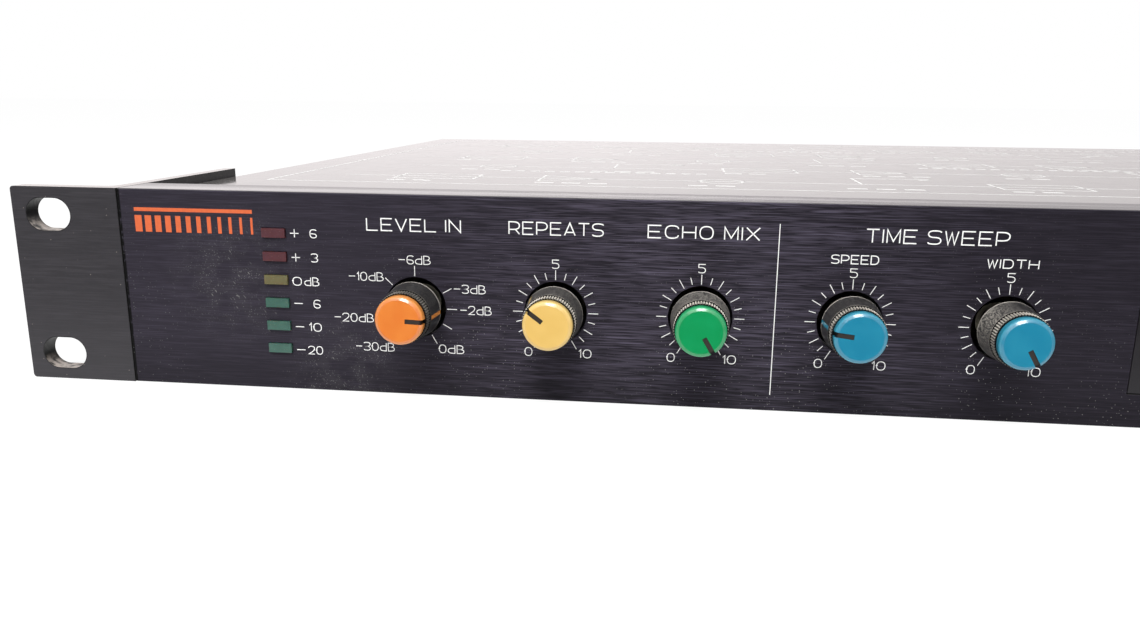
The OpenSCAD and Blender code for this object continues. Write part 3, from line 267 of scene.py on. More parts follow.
def dressed(made, *nodes):
    """Gives CAD nodes a finish."""
    for name in nodes:
        slots = frame["nodes"][name].data.materials
        slots.clear()
        slots.append(made)


def coated(name, dark, light, roughness, pebble):
    """Powder coat or moulded plastic: two close tones mottled together over a fine pebbled grain."""
    mottle, patch, uneven = 6 * MM, 2 * MM, 0.06
    made, shader = finish(name, dark, roughness)
    tree = made.node_tree
    coloured(made, shader, mixed(tree, grain(tree, mottle, detail=4), dark, light))
    rough = between(tree, grain(tree, patch), 0.3, 0.7, roughness - uneven, roughness + uneven)
    roughened(made, shader, rough)
    embossed(made, shader, grain(tree, pebble, detail=2), 0.01 * MM)
    return made


tray_coat = coated("tray_steel", screen(38, 38, 41), screen(50, 50, 53), 0.45, 0.5 * MM)
dressed(tray_coat, "chassis_tray")


# Boards
# Green lacquered boards with copper tracks under the lacquer: the main board on its pillars, the
# lamps' board and the key board on the front wall.
def board_lacquer():
    """Green lacquer over a pattern of tracks, which stand out a little."""
    made, shader = finish("board_green", screen(40, 96, 58), 0.3)
    tree = made.node_tree
    cells = node(tree, "TexBrick", {"Vector": place_of(tree), "Scale": 160, "Mortar Size": 0.06,
                                    "Color1": (0, 0, 0, 1), "Color2": (0, 0, 0, 1), "Mortar": (1, 1, 1, 1)})
    track = times(tree, cells.outputs["Color"], grain(tree, 9 * MM))
    coloured(made, shader, mixed(tree, track, screen(32, 82, 48), screen(86, 140, 70)))
    embossed(made, shader, track, 0.03 * MM)
    return made


dressed(board_lacquer(), "main_board", "meter_board", "key_board")


# Parts on the boards
# Moulded chips, sleeved capacitors, regulators on the rear wall, the switches behind the keys and the
# power button, the fuse in its clips and the flat ribbon cable.
def ribbon_jacket():
    """Grey plastic drawn over wires that lie side by side."""
    made, shader = finish("ribbon_grey", screen(140, 140, 144), 0.5)
    tree = made.node_tree
    wires = node(tree, "TexWave", {"Vector": place_of(tree), "Scale": 125}, bands_direction="X")
    # Painted shading: lighter along each wire's crest and darker between the wires, following the bump.
    coloured(made, shader, mixed(tree, wires.outputs["Fac"], screen(112, 112, 117), screen(160, 160, 164)))
    embossed(made, shader, wires.outputs["Fac"], 0.3 * MM)
    return made


chip_mould = coated("chip_black", screen(28, 28, 30), screen(42, 42, 44), 0.5, 0.3 * MM)
dressed(chip_mould, "logic_chips", "regulators", "key_switches", "power_switch")
dressed(coated("sleeve_blue", screen(28, 52, 88), screen(40, 68, 108), 0.35, 1.5 * MM), "capacitors")
dressed(coated("fuse_white", screen(205, 204, 196), screen(222, 221, 215), 0.3, 1 * MM), "fuse_holder")
dressed(ribbon_jacket(), "ribbon_cable")


# Metal fittings
# Plain turned, stamped and plated pieces: board pillars, potentiometer cans, washers and nuts, shafts,
# the transformer's laminated core, its strap, and the zinc-plated screws inside.
def darker(colour, share):
    """A shader colour at a share of its brightness."""
    return [c * share for c in colour[:3]] + [1.0]


def bare_metal(name, colour, roughness, streak):
    """Metal with fine tool marks along the given stretch."""
    made, shader = finish(name, colour, roughness, Metallic=1.0)
    tree = made.node_tree
    marks = grain(tree, 1.0, detail=3, stretch=streak)
    coloured(made, shader, mixed(tree, marks, darker(colour, 0.72), colour))
    roughened(made, shader, between(tree, marks, 0.3, 0.7, roughness - 0.08, roughness + 0.1))
    embossed(made, shader, marks, 0.006 * MM)
    return made


turned = (900, 5000, 900)
zinc = bare_metal("screw_zinc", screen(196, 194, 186), 0.34, turned)
dressed(zinc, "inner_screws", "board_pillars", "shaft_input", "shaft_feedback", "shaft_output",
        "shaft_rate", "shaft_depth")
dressed(bare_metal("pot_can", screen(170, 166, 152), 0.4, turned), "potentiometers")
dressed(bare_metal("nut_brass", screen(58, 54, 46), 0.5, turned), "pot_nuts", "pot_washers")
dressed(bare_metal("frame_steel", screen(176, 175, 170), 0.36, turned), "transformer_frame")
dressed(bare_metal("core_steel", screen(112, 108, 102), 0.5, (60, 60, 2000)), "transformer_core")


# Transformer winding
# Layers of enamelled copper wire, wound turn beside turn round the middle limb of the transformer's
# core.
def winding():
    """Copper wire, each turn rounded beside the next."""
    made, shader = finish("coil_copper", screen(176, 120, 50), 0.4)
    tree = made.node_tree
    turns = node(tree, "TexWave", {"Vector": place_of(tree), "Scale": 220}, bands_direction="Y")
    # Painted shading: lighter along each turn's crest and darker between the turns, following the bump.
    coloured(made, shader, mixed(tree, turns.outputs["Fac"], screen(140, 84, 36), screen(206, 160, 84)))
    embossed(made, shader, turns.outputs["Fac"], 0.15 * MM)
    return made


dressed(winding(), "transformer_coil")


# Front panel
# Lipped aluminium extrusion, brushed along its length and anodised black. Its brush strokes stand out about
# the dials as a painted sheen, and its tone falls off to the right as painted light. Years of use left dust
# low down, a film on the lip that is partly a painted glare fading to the right, and scuffs near the level
# lamps. A painted shade darkens the panel towards its bottom edge.
panel_low, panel_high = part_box("front_panel")
face_y = panel_low.y
panel_top = panel_high.z


def round_patch(tree, centre, radius):
    """Mask that fades from one at a point to zero at the given distance."""
    point = node(tree, "TexCoord", {}).outputs["Object"]
    apart = node(tree, "VectorMath", {0: point, 1: centre}, operation="DISTANCE").outputs["Value"]
    return between(tree, apart, radius, radius * 0.3)


def strokes(tree, length, pitch):
    """Rows of strokes along a piece, each of its own brightness, that fade out at both ends."""
    most_shift = 9
    point = node(tree, "SeparateXYZ", {"Vector": place_of(tree, (1 / length, 1 / pitch, 1 / pitch))}).outputs
    row = math_of(tree, "FLOOR", math_of(tree, "ADD", point["Y"], point["Z"]))
    shift = node(tree, "TexWhiteNoise", {"W": row}, noise_dimensions="1D").outputs["Value"]
    along = math_of(tree, "MULTIPLY_ADD", shift, most_shift, point["X"])
    place = node(tree, "CombineXYZ", {"X": math_of(tree, "FLOOR", along), "Y": row}).outputs["Vector"]
    bright = node(tree, "TexWhiteNoise", {"Vector": place}, noise_dimensions="2D").outputs["Value"]
    from_middle = math_of(tree, "ABSOLUTE", math_of(tree, "SUBTRACT", math_of(tree, "FRACT", along), 0.5))
    return times(tree, math_of(tree, "POWER", bright, 2), between(tree, from_middle, 0.5, 0.25))


def brush_marks(tree):
    """Fine lines of brushing along the length of the piece, shorter and longer strokes together."""
    short, long = strokes(tree, 7 * MM, 0.15 * MM), strokes(tree, 13 * MM, 0.21 * MM)
    return math_of(tree, "MULTIPLY_ADD", short, 0.5, times(tree, long, 0.5))


def seam_dirt(tree):
    """Mask of the broken line of dirt in the joints between the panel and the ears."""
    seam_half = 0.55 * MM
    out = math_of(tree, "ABSOLUTE", coordinate(tree, "X"))
    off = math_of(tree, "ABSOLUTE", math_of(tree, "SUBTRACT", out, panel_high.x))
    broken = between(tree, grain(tree, 0.9 * MM, detail=1), 0.32, 0.44, 0.3, 1)
    return times(tree, between(tree, off, seam_half, seam_half * 0.6), broken)


dirt_and_shade_black = screen(7, 7, 8)
panel_dark, panel_bright, panel_dust_and_glare = screen(35, 32, 39), screen(90, 84, 100), screen(168, 166, 164)
dials_mid, sheen_half, sheen_fade_half, sheen_fade_most = -91 * MM, 30 * MM, 66 * MM, 0.72
painted_falloff_ends, tones = (-170 * MM, -10 * MM), (0.2, 0.075)
lip_glare_fade_ends, lip_dust_and_glare, lip_smoother = (-190 * MM, 0), (0.45, 0.2), -0.26
scuff_patches, smear, scratch_most = [(-190, 25, 17), (-166, 6, 14)], 0.04, 0.62
level_slope = (0.6, 0.95)


def brushed_black():
    """Black anodised brushing with a painted sheen about the dials and painted light falling off to the right,
    dust, scuffs, a lip film that is partly a painted glare, and painted shade along the bottom edge.
    """
    made, shader = finish("panel_black", screen(32, 31, 35), 0.5, Metallic=0.5, Specular_IOR_Level=0.2,
                          Anisotropic=0.9, Anisotropic_Rotation=0.25)
    tree = made.node_tree
    across, height = coordinate(tree, "X"), coordinate(tree, "Z")
    # Painted sheen: the brush strokes show in full about the dials and fade away from them to a flat tone, which
    # is painted light falling off to the right.
    from_dials = math_of(tree, "ABSOLUTE", math_of(tree, "SUBTRACT", across, dials_mid))
    painted_sheen_fade = between(tree, from_dials, sheen_half, sheen_fade_half, 0, sheen_fade_most)
    marks = mixed(tree, painted_sheen_fade, brush_marks(tree), between(tree, across, *painted_falloff_ends, *tones))
    metal = mixed(tree, marks, panel_dark, panel_bright)
    low = between(tree, height, panel_top * 0.85, panel_top * 0.15, 0.15, 1)
    dusty = times(tree, low, between(tree, grain(tree, 26 * MM, detail=2), 0.4, 0.64))
    coarse = specks(tree, 1.1 * MM, share=0.5, radius=0.11)
    dust = most(tree, coarse, specks(tree, 0.5 * MM, share=0.26, radius=0.2))
    patches = [round_patch(tree, (x * MM, face_y, z * MM), radius * MM) for x, z, radius in scuff_patches]
    worn = times(tree, most(tree, *patches), between(tree, grain(tree, 4 * MM, detail=4), 0.4, 0.6))
    chips = specks(tree, 0.36 * MM, share=0.5, radius=0.28)
    scratches = specks(tree, 0.6 * MM, share=0.3, radius=0.2, stretch=(1, 1, 0.3), turn=35)
    scuffs = between(tree, most(tree, chips, scratches), 0, 1, smear, scratch_most)
    dust_scuffs_and_glare = most(tree, times(tree, dust, dusty), times(tree, scuffs, worn))
    top = facing_up(tree, *level_slope)
    # The pale film on the faces that look up is partly dust and partly a painted glare, fading to the right.
    film = times(tree, top, between(tree, across, *lip_glare_fade_ends, *lip_dust_and_glare))
    dust_scuffs_and_glare = most(tree, times(tree, dust_scuffs_and_glare, 0.8), film)
    # Dirt in the seams, and a painted shade that darkens the panel towards its bottom edge.
    seam_dirt_and_painted_shade = most(tree, seam_dirt(tree), between(tree, height, panel_top * 0.3, 0, 0, 0.4))
    metal = mixed(tree, seam_dirt_and_painted_shade, metal, dirt_and_shade_black)
    coloured(made, shader, mixed(tree, dust_scuffs_and_glare, metal, panel_dust_and_glare))
    rough = between(tree, marks, 0, 1, 0.4, 0.6)
    roughened(made, shader, math_of(tree, "MULTIPLY_ADD", top, lip_smoother, rough))
    embossed(made, shader, marks, 0.0015 * MM)
    along = node(tree, "Tangent", {}, direction_type="RADIAL", axis="Z")
    tree.links.new(along.outputs["Tangent"], shader.inputs["Tangent"])
    return made


dressed(brushed_black(), "front_panel")


# Print on the front panel
# White screen-printed dial scales with plain numbers, headings and a dividing line, and a plain orange
# sign at the left end: bars that thin out like an echo. The letters are pen strokes of one width.
print_thick = 0.02 * MM
towards_user = Vector((0, -1, 0))


def ink(name, colour):
    """Opaque printing ink with a slightly uneven, satin film."""
    made, shader = finish(name, colour, 0.5)
    tree = made.node_tree
    full = between(tree, grain(tree, 0.7 * MM, detail=3), 0.3, 0.6)
    coloured(made, shader, mixed(tree, full, darker(colour, 0.9), colour))
    return made


def line(mesh, path, width, normal, thick=print_thick):
    """Adds a thin line of one width along a path, mitred, on a surface with the given normal."""
    closed = (path[0] - path[-1]).length < 0.001 * MM
    path = path[:-1] if closed else path
    rows = []
    for i, point in enumerate(path):
        before = point - path[i - 1] if i or closed else path[1] - point
        after = path[(i + 1) % len(path)] - point if i + 1 < len(path) or closed else before
        along = (before.normalized() + after.normalized()).normalized()
        side = along.cross(normal) * width / 2 / max(0.4, along.dot(before.normalized()))
        corners = [point - side, point + side, point + side + normal * thick, point - side + normal * thick]
        rows.append([mesh.verts.new(corner) for corner in corners])
    for row, after in zip(rows, rows[1:] + rows[:1] if closed else rows[1:]):
        for k in range(4):
            mesh.faces.new((row[k], row[(k + 1) % 4], after[(k + 1) % 4], after[k]))
    if not closed:
        mesh.faces.new(rows[0])
        mesh.faces.new(reversed(rows[-1]))


# The pen strokes of each letter on a grid of 8 by 8: the column and row of each point that a stroke
# passes, with ~ where it turns in a curve.
pen_grid = 8
pen_strokes = {
    "A": "00 48 80, 12 72", "B": "04 ~74 ~78 08 00 ~80 ~84 04", "C": "86 ~88 ~08 ~00 ~80 82",
    "D": "00 08 ~88 ~80 00", "E": "88 08 00 80, 04 74", "F": "88 08 00, 04 74", "H": "00 08, 80 88, 04 84",
    "I": "40 48", "L": "08 00 80", "M": "00 08 41 88 80", "N": "00 08 80 88", "O": "04 ~08 ~88 ~80 ~00 04",
    "P": "00 08 ~88 ~83 03", "R": "00 08 ~88 ~83 03, 53 80", "S": "87 ~88 ~08 ~04 ~84 ~80 ~00 01",
    "T": "08 88, 48 40", "V": "08 40 88", "W": "08 20 47 60 88", "X": "00 88, 08 80", "d": "88 80 ~00 ~05 85",
    "0": "04 ~08 ~88 ~80 ~00 04", "1": "26 48 40", "2": "06 ~08 ~88 ~84 00 80",
    "3": "07 ~08 ~88 ~84 24, 24 ~84 ~80 ~00 01", "4": "60 68 02 82", "5": "88 08 05 ~85 ~80 ~00 01",
    "6": "87 ~88 ~08 ~00 ~80 ~84 04", "+": "04 84, 40 48", "-": "04 84", "/": "00 48", "<": "87 04 81",
    ">": "07 84 01"}


def curved(points, turns, radius):
    """A path through points whose marked corners turn in a curve of about the given radius."""
    curve_steps, least_step = 5, 0.005 * MM
    path = []
    for i, point in enumerate(points):
        if not turns[i]:
            path.append(point)
            continue
        before, after = points[i - 1] - point, points[i + 1] - point
        start = point + before.normalized() * min(radius, before.length / (2 if turns[i - 1] else 1))
        end = point + after.normalized() * min(radius, after.length / (2 if turns[i + 1] else 1))
        for step in range(curve_steps + 1):
            t = step / curve_steps
            on_curve = start * (1 - t) ** 2 + point * 2 * t * (1 - t) + end * t ** 2
            if not path or (on_curve - path[-1]).length > least_step:
                path.append(on_curve)
    return path


def lettering(mesh, words, x, z, height, width, pen=0.19, face=face_y):
    """Adds words, centred on x with their foot at z, all in millimetres, on a front face in metres."""
    letter_gap, space = 2.6, 4.5
    width, height, z = width - pen, height - pen, z + pen / 2
    paths, at = [], 0.0
    for letter in words:
        if letter == " ":
            at += space
            continue
        drawn = [stroke.split() for stroke in pen_strokes[letter].split(", ")]
        columns = [int(point[-2]) for stroke in drawn for point in stroke]
        start = at - min(columns)
        for stroke in drawn:
            paths.append([(start + int(point[-2]), int(point[-1]), point[0] == "~") for point in stroke])
        at += max(columns) - min(columns) + letter_gap
    across = width / max(at - letter_gap, 1)
    up = height / pen_grid
    left = x - width / 2
    for path in paths:
        points = [Vector(((left + px * across) * MM, face, (z + pz * up) * MM)) for px, pz, turn in path]
        turns = [turn for px, pz, turn in path]
        line(mesh, curved(points, turns, height / 2 * MM), pen * MM, towards_user)


def piece_from(mesh, name, made, body):
    """Makes a piece from a mesh, in a finish, that rides on a body."""
    bmesh.ops.recalc_face_normals(mesh, faces=mesh.faces)
    data = bpy.data.meshes.new(name)
    mesh.to_mesh(data)
    mesh.free()
    data.materials.append(made)
    made_piece = bpy.data.objects.new(name, data)
    scene.collection.objects.link(made_piece)
    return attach(made_piece, body)


white_ink = ink("ink_white", screen(242, 242, 240))
orange_ink = ink("ink_orange", screen(214, 98, 50))
dials = ["input", "feedback", "output", "rate", "depth"]
axis_of = {joint["child"]: Vector(joint["pos_m"]) for joint in frame["joints"] if joint["type"] == "hinge"}
dial_at = {name: axis_of[name + "_knob"] for name in dials}


def on_face(axis, turn, radius):
    """The point on the panel face at a clock angle and radius about a dial's axis."""
    angle = math.radians(turn)
    return Vector((axis.x + radius * math.sin(angle), face_y, axis.z + radius * math.cos(angle)))


tick_w = 0.16 * MM
number_h, scale_pen = 1.95, 0.17
level_turns = [-150, -104, -46, 0, 61, 91, 120, 150]
level_ticks = [(turn, 6.9, 9.1) for turn in level_turns]
plain_ticks = [(15 * step - 150, 7.2, 8.7) if step % 2 else (15 * step - 150, 7.0, 9.1) for step in range(21)]
level_numbers = [("-6dB", 0.0, 9.4, 7.1), ("-10dB", -10.8, 5.5, 7.8), ("-3dB", 11.9, 3.4, 7.0),
                 ("-2dB", 13.2, -1.2, 6.9), ("-20dB", -13.9, -3.7, 8.9), ("-30dB", -9.4, -10.1, 8.8),
                 ("0dB", 7.7, -10.0, 5.6)]
plain_numbers = [("5", 0.0, 9.4, 1.55), ("0", -5.8, -9.8, 1.7), ("10", 6.4, -9.8, 2.8)]
for name, axis in dial_at.items():
    ticks, numbers = (level_ticks, level_numbers) if name == "input" else (plain_ticks, plain_numbers)
    scale = bmesh.new()
    for turn, near, far in ticks:
        line(scale, [on_face(axis, turn, near * MM), on_face(axis, turn, far * MM)], tick_w, towards_user)
    for words, right, up, width in numbers:
        lettering(scale, words, axis.x / MM + right, axis.z / MM + up, number_h, width, scale_pen)
    piece_from(scale, "scale_" + name, white_ink, "case")


def straight(mesh, start, end, width):
    """Adds a straight line to the panel face between two points, right and up, all in millimetres."""
    ends = [Vector((x * MM, face_y, z * MM)) for x, z in (start, end)]
    line(mesh, ends, width * MM, towards_user)


group_h, group_pen, label_h, label_pen = 2.8, 0.25, 1.9, 0.2
headings = [("LEVEL IN", "input", 0, 36.1, group_h, 20.6, group_pen),
            ("REPEATS", "feedback", 0, 36.1, group_h, 20.0, group_pen),
            ("ECHO MIX", "output", 0, 36.1, group_h, 22.8, group_pen),
            ("TIME SWEEP", "rate", 15.5, 36.3, 2.9, 27.6, group_pen),
            ("SPEED", "rate", 0, 31.9, label_h, 9.4, label_pen),
            ("WIDTH", "depth", 0, 31.9, label_h, 9.9, label_pen)]
heading_print = bmesh.new()
for words, dial, right, z, height, width, pen in headings:
    lettering(heading_print, words, dial_at[dial].x / MM + right, z, height, width, pen)
divider_x = (dial_at["output"].x + dial_at["rate"].x) / 2 / MM
divider_low, divider_high, divider_w = 3.6, 39.7, 0.17
straight(heading_print, (divider_x, divider_low), (divider_x, divider_high), divider_w)
piece_from(heading_print, "panel_headings", white_ink, "case")

sign_left, sign_right, sign_top, sign_line_w = -212.2, -185.2, 39.5, 0.8
bar_count, bar_low, bar_high, bar_first_w, bar_thins = 12, 34.6, 38.2, 1.6, 1.2
echo_sign = bmesh.new()
straight(echo_sign, (sign_left, sign_top), (sign_right, sign_top), sign_line_w)
for k in range(bar_count):
    thick = bar_first_w - bar_thins * k / bar_count
    x = sign_left + thick / 2 + (sign_right - sign_left - thick) * k / (bar_count - 1)
    straight(echo_sign, (x, bar_low), (x, bar_high), thick)
piece_from(echo_sign, "echo_sign", orange_ink, "case")


# Level lamps
# Six flat lamps pushed through the panel from behind: two red, one yellow and three green, of tinted
# translucent plastic, dark while the unit is off. Their levels are printed beside them.
def lens_plastic(name, colour):
    """Tinted lamp plastic, cloudy, with a little dust on it."""
    made, shader = finish(name, colour, 0.32, Subsurface_Weight=0.25, Subsurface_Scale=0.6 * MM)
    tree = made.node_tree
    lamp_dust = screen(190, 186, 180)
    dust = times(tree, specks(tree, 0.5 * MM, share=0.5, radius=0.2), 0.14)
    body = mixed(tree, grain(tree, 0.9 * MM, detail=3), darker(colour, 0.7), colour)
    coloured(made, shader, mixed(tree, dust, body, lamp_dust))
    embossed(made, shader, grain(tree, 0.25 * MM), 0.01 * MM)
    return made


dressed(lens_plastic("lamp_red", screen(92, 52, 58)), "level_lamps_red")
dressed(lens_plastic("lamp_yellow", screen(112, 106, 72)), "level_lamp_yellow")
dressed(lens_plastic("lamp_green", screen(66, 104, 92)), "level_lamps_green")
lamp_words = [("+", "6", 1.6), ("+", "3", 1.6), ("0", "dB", 3.4), ("-", "6", 1.6), ("-", "10", 2.9),
              ("-", "20", 3.4)]
lamp_tops = [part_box(name) for name in ("level_lamps_red", "level_lamps_green")]
lamp_half_h, upper_rows, upper_drop = 1.0, 3, 0.3
lamp_first = lamp_tops[0][1].z / MM - lamp_half_h
lamp_last = lamp_tops[1][0].z / MM + lamp_half_h
lamp_right = lamp_tops[0][1].x / MM
sign_off, sign_w, number_end = 1.75, 2.1, 6.75
lamp_labels = bmesh.new()
for row, (sign, number, width) in enumerate(lamp_words):
    z = lamp_first + (lamp_last - lamp_first) * row / (len(lamp_words) - 1) - number_h / 2
    if row < upper_rows:
        z -= upper_drop
    lettering(lamp_labels, sign, lamp_right + sign_off, z, number_h, sign_w)
    lettering(lamp_labels, number, lamp_right + number_end - width / 2, z, number_h, width)
piece_from(lamp_labels, "lamp_labels", white_ink, "case")


# Rack ears
# Angle brackets at both ends, brushed and anodised black like the panel, with dust and a painted glare on
# top. Their slots' walls carry painted shade. Rack bolts have rubbed the slots down to bare metal along their
# lower rims, which are also painted lighter as if lit from above, and dirt fills the joints with the panel.
def ear_black():
    """Black anodised brushing with painted shade in the slots and bare metal painted lighter on their lower
    rims, dirt by the panel, and dust with a painted glare on top.
    """
    made, shader = finish("ear_black", screen(50, 49, 52), 0.5, Specular_IOR_Level=0.45)
    tree = made.node_tree
    ear_dark, ear_bright, ear_dust_wear_and_light = screen(44, 42, 46), screen(57, 54, 59), screen(166, 156, 148)
    marks = brush_marks(tree)
    paint = mixed(tree, marks, ear_dark, ear_bright)
    mount = next(m for m in frame["record"]["mounts"] if m["name"] == "rack_slots")
    dims, middle = mount["dims"], mount["pos_m"][2]
    rise, slot_x = dims["spacing_y_mm"] / 2 * MM, dims["spacing_x_mm"] / 2 * MM
    slot_r, rim_w, top_smoother = dims["hole_r_mm"], 0.3, -0.36
    reach = (dims["slot_length_mm"] / 2 - slot_r) * MM
    from_middle = math_of(tree, "SUBTRACT", coordinate(tree, "Z"), middle)
    up = math_of(tree, "SUBTRACT", math_of(tree, "ABSOLUTE", from_middle), rise)
    along = math_of(tree, "SUBTRACT", math_of(tree, "ABSOLUTE", coordinate(tree, "X")), slot_x)
    past = most(tree, math_of(tree, "SUBTRACT", math_of(tree, "ABSOLUTE", along), reach), 0)
    out = math_of(tree, "SQRT", math_of(tree, "ADD", times(tree, up, up), times(tree, past, past)))
    rim = between(tree, out, (slot_r + rim_w) * MM, slot_r * MM)
    # Bare metal rubbed by rack bolts on the upward walls of the slots, also painted lighter as if lit from above.
    worn = times(tree, rim, facing_up(tree, 0.2, 0.8))
    worn = times(tree, worn, between(tree, grain(tree, 1.5 * MM, detail=4), 0.35, 0.55))
    dust = times(tree, specks(tree, 1.4 * MM, share=0.3, radius=0.09), 0.5)
    # Painted shade: the slots' walls and a thin band round them are painted near black, with the dirt in the
    # joints.
    paint = mixed(tree, most(tree, rim, seam_dirt(tree)), paint, dirt_and_shade_black)
    # The faces that look up get pale dust that is partly a painted glare.
    top = times(tree, facing_up(tree, *level_slope), math_of(tree, "SUBTRACT", 1, rim))
    dust = most(tree, dust, times(tree, top, 0.6))
    coloured(made, shader, mixed(tree, most(tree, worn, dust), paint, ear_dust_wear_and_light))
    rough = between(tree, marks, 0, 1, 0.42, 0.58)
    roughened(made, shader, math_of(tree, "MULTIPLY_ADD", top, top_smoother, rough))
    embossed(made, shader, marks, 0.001 * MM)
    return made


dressed(ear_black(), "rack_ear_left", "rack_ear_right")
dirt_behind, dirt_thick, dirt_short = 2.5 * MM, 2.2 * MM, 0.3 * MM
dirt_black = coated("dirt_black", dirt_and_shade_black, screen(22, 21, 20), 0.8, 0.4 * MM)
joint_dirt = bmesh.new()
for ear, near_face in (("rack_ear_left", 1), ("rack_ear_right", 0)):
    ear_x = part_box(ear)[near_face].x
    panel_x = panel_low.x if near_face else panel_high.x
    mid_x = (ear_x + panel_x) / 2
    path = [Vector((mid_x, face_y + dirt_behind, z)) for z in (dirt_short, panel_top - dirt_short)]
    line(joint_dirt, path, abs(ear_x - panel_x), towards_user, dirt_thick)
piece_from(joint_dirt, "joint_dirt", dirt_black, "case")


# Top cover
# Folded steel cover in satin black paint under a film of dust, screwed down at the sides. A line and a
# plain block diagram are printed on it in white.
cover_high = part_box("top_cover")[1]


def satin_black():
    """Satin black paint, with a film of dust and coarser specks on the faces that look up."""
    made, shader = finish("cover_black", screen(34, 34, 37), 0.12, Specular_IOR_Level=1.0)
    tree = made.node_tree
    cover_dark, cover_pale, cover_dust = screen(30, 30, 33), screen(42, 42, 45), screen(192, 186, 180)
    paint = mixed(tree, grain(tree, 7 * MM, detail=4), cover_dark, cover_pale)
    film = between(tree, grain(tree, 40 * MM, detail=2), 0.3, 0.7, 0.19, 0.23)
    dust = most(tree, times(tree, specks(tree, 1.5 * MM, share=0.5), 0.5), film)
    dust = times(tree, dust, facing_up(tree, *level_slope))
    coloured(made, shader, mixed(tree, dust, paint, cover_dust))
    roughened(made, shader, between(tree, grain(tree, 5 * MM, detail=3), 0.3, 0.7, 0.06, 0.12))
    embossed(made, shader, grain(tree, 1.2 * MM, detail=2), 0.0012 * MM)
    return made


dressed(satin_black(), "top_cover")

upwards = Vector((0, 0, 1))
line_w = 0.7 * MM


def on_cover(x, depth):
    """A point on the cover, x to the right of its middle and depth behind the panel face, in millimetres."""
    return Vector((x * MM, face_y + depth * MM, cover_high.z))


def cover_path(mesh, points, closed=False, width=line_w):
    """Adds a printed line through points on the cover."""
    line(mesh, [on_cover(*point) for point in (points + points[:1] if closed else points)], width, upwards)


def cover_box(mesh, x, depth, width, length):
    """Adds the outline of a block of the diagram."""
    cover_path(mesh, [(x, depth), (x + width, depth), (x + width, depth + length), (x, depth + length)], True)


border_in, border_front = 14, 45.5
cover_half = cover_high.x / MM
cover_back = (cover_high.y - face_y) / MM
border_left, border_right = -cover_half + border_in, cover_half - border_in
row_count, row_first, row_pitch, row_in, row_shift = 5, 66, 40, 14, 11
mark_count, mark_first, mark_pitch = 9, 16, 40
block_w, block_l = 22, 14
wedge_w, wedge_half = 15, 8
ring_points, ring_r, ring_off = 12, 6, 9
branch_from, branch_to, branch_off, arrow_l, arrow_half = 6, 28, 18, 4, 3
caption_l, caption_pitch, caption_off, caption_w = 5, 7, -13, 1.8 * MM
dash_l, dash_pitch, dash_off, dash_w, dash_first, dash_shift = 3, 4.5, 23, 2.2 * MM, 40, 60
diagram = bmesh.new()
border_w, border_l = border_right - border_left, cover_back - border_front - border_in
cover_box(diagram, border_left, border_front, border_w, border_l)
for row in range(row_count):
    depth = row_first + row * row_pitch
    x = border_left + row_in + (row % 2) * row_shift
    cover_path(diagram, [(x, depth), (border_right - row_in, depth)])
    for column in range(mark_count):
        kind = (row * 2 + column) % 4
        here = x + mark_first + column * mark_pitch
        if kind == 0:
            cover_box(diagram, here, depth - block_l / 2, block_w, block_l)
        elif kind == 1:
            wedge = [(here, depth - wedge_half), (here + wedge_w, depth), (here, depth + wedge_half)]
            cover_path(diagram, wedge, True)
        elif kind == 2:
            turns = [k * 2 * math.pi / ring_points for k in range(ring_points)]
            mid = here + ring_off
            ring = [(mid + ring_r * math.cos(turn), depth + ring_r * math.sin(turn)) for turn in turns]
            cover_path(diagram, ring, True)
        else:
            tip, level = here + branch_to, depth + branch_off
            cover_path(diagram, [(here + branch_from, depth), (here + branch_from, level), (tip, level)])
            barbs = (tip - arrow_l, level - arrow_half), (tip - arrow_l, level + arrow_half)
            cover_path(diagram, [barbs[0], (tip, level), barbs[1]])
        for word in range(2 + kind % 2):
            start = here + word * caption_pitch
            ends = [(start, depth + caption_off), (start + caption_l, depth + caption_off)]
            cover_path(diagram, ends, width=caption_w)
    for dash in range(14 + 5 * (row % 3)):
        start = x + dash_first + dash_shift * (row * 2 % 5) + dash * dash_pitch
        cover_path(diagram, [(start, depth + dash_off), (start + dash_l, depth + dash_off)], width=dash_w)
piece_from(diagram, "cover_diagram", white_ink, "case")


# Case screws
# Black plated steel screws with pan heads and a cross recess, put in through the ears and the sides of
# the cover.
dressed(bare_metal("screw_black", screen(52, 52, 55), 0.42, turned), "case_screws")


# Knobs
# Moulded black knobs with a tapered skirt, a knurled ring, a glossy coloured cap and an index line of
# its colour let into the skirt. Dust has gathered on them from above, on some more than on others. The
# knurl's grooves carry painted shade, its teeth on top wear and a painted highlight, and the skirt's foot
# and the cap's rim painted highlights.
foot_out, foot_r = 2.4, 6.0
collar_out, collar_r = 8.3, 5.5
knurl_tip, knurl_root = 5.45, 5.17


def out_from(tree, axis):
    """How far a point on the piece lies from a dial's axis, how far right of it and how far above it."""
    point = node(tree, "TexCoord", {}).outputs["Object"]
    from_axis = node(tree, "VectorMath", {0: point, 1: axis}, operation="SUBTRACT").outputs["Vector"]
    flat = node(tree, "VectorMath", {0: from_axis, 1: (1, 0, 1)}, operation="MULTIPLY").outputs["Vector"]
    out = node(tree, "VectorMath", {0: flat}, operation="LENGTH").outputs["Value"]
    parts = node(tree, "SeparateXYZ", {"Vector": flat}).outputs
    return out, parts["X"], parts["Z"]


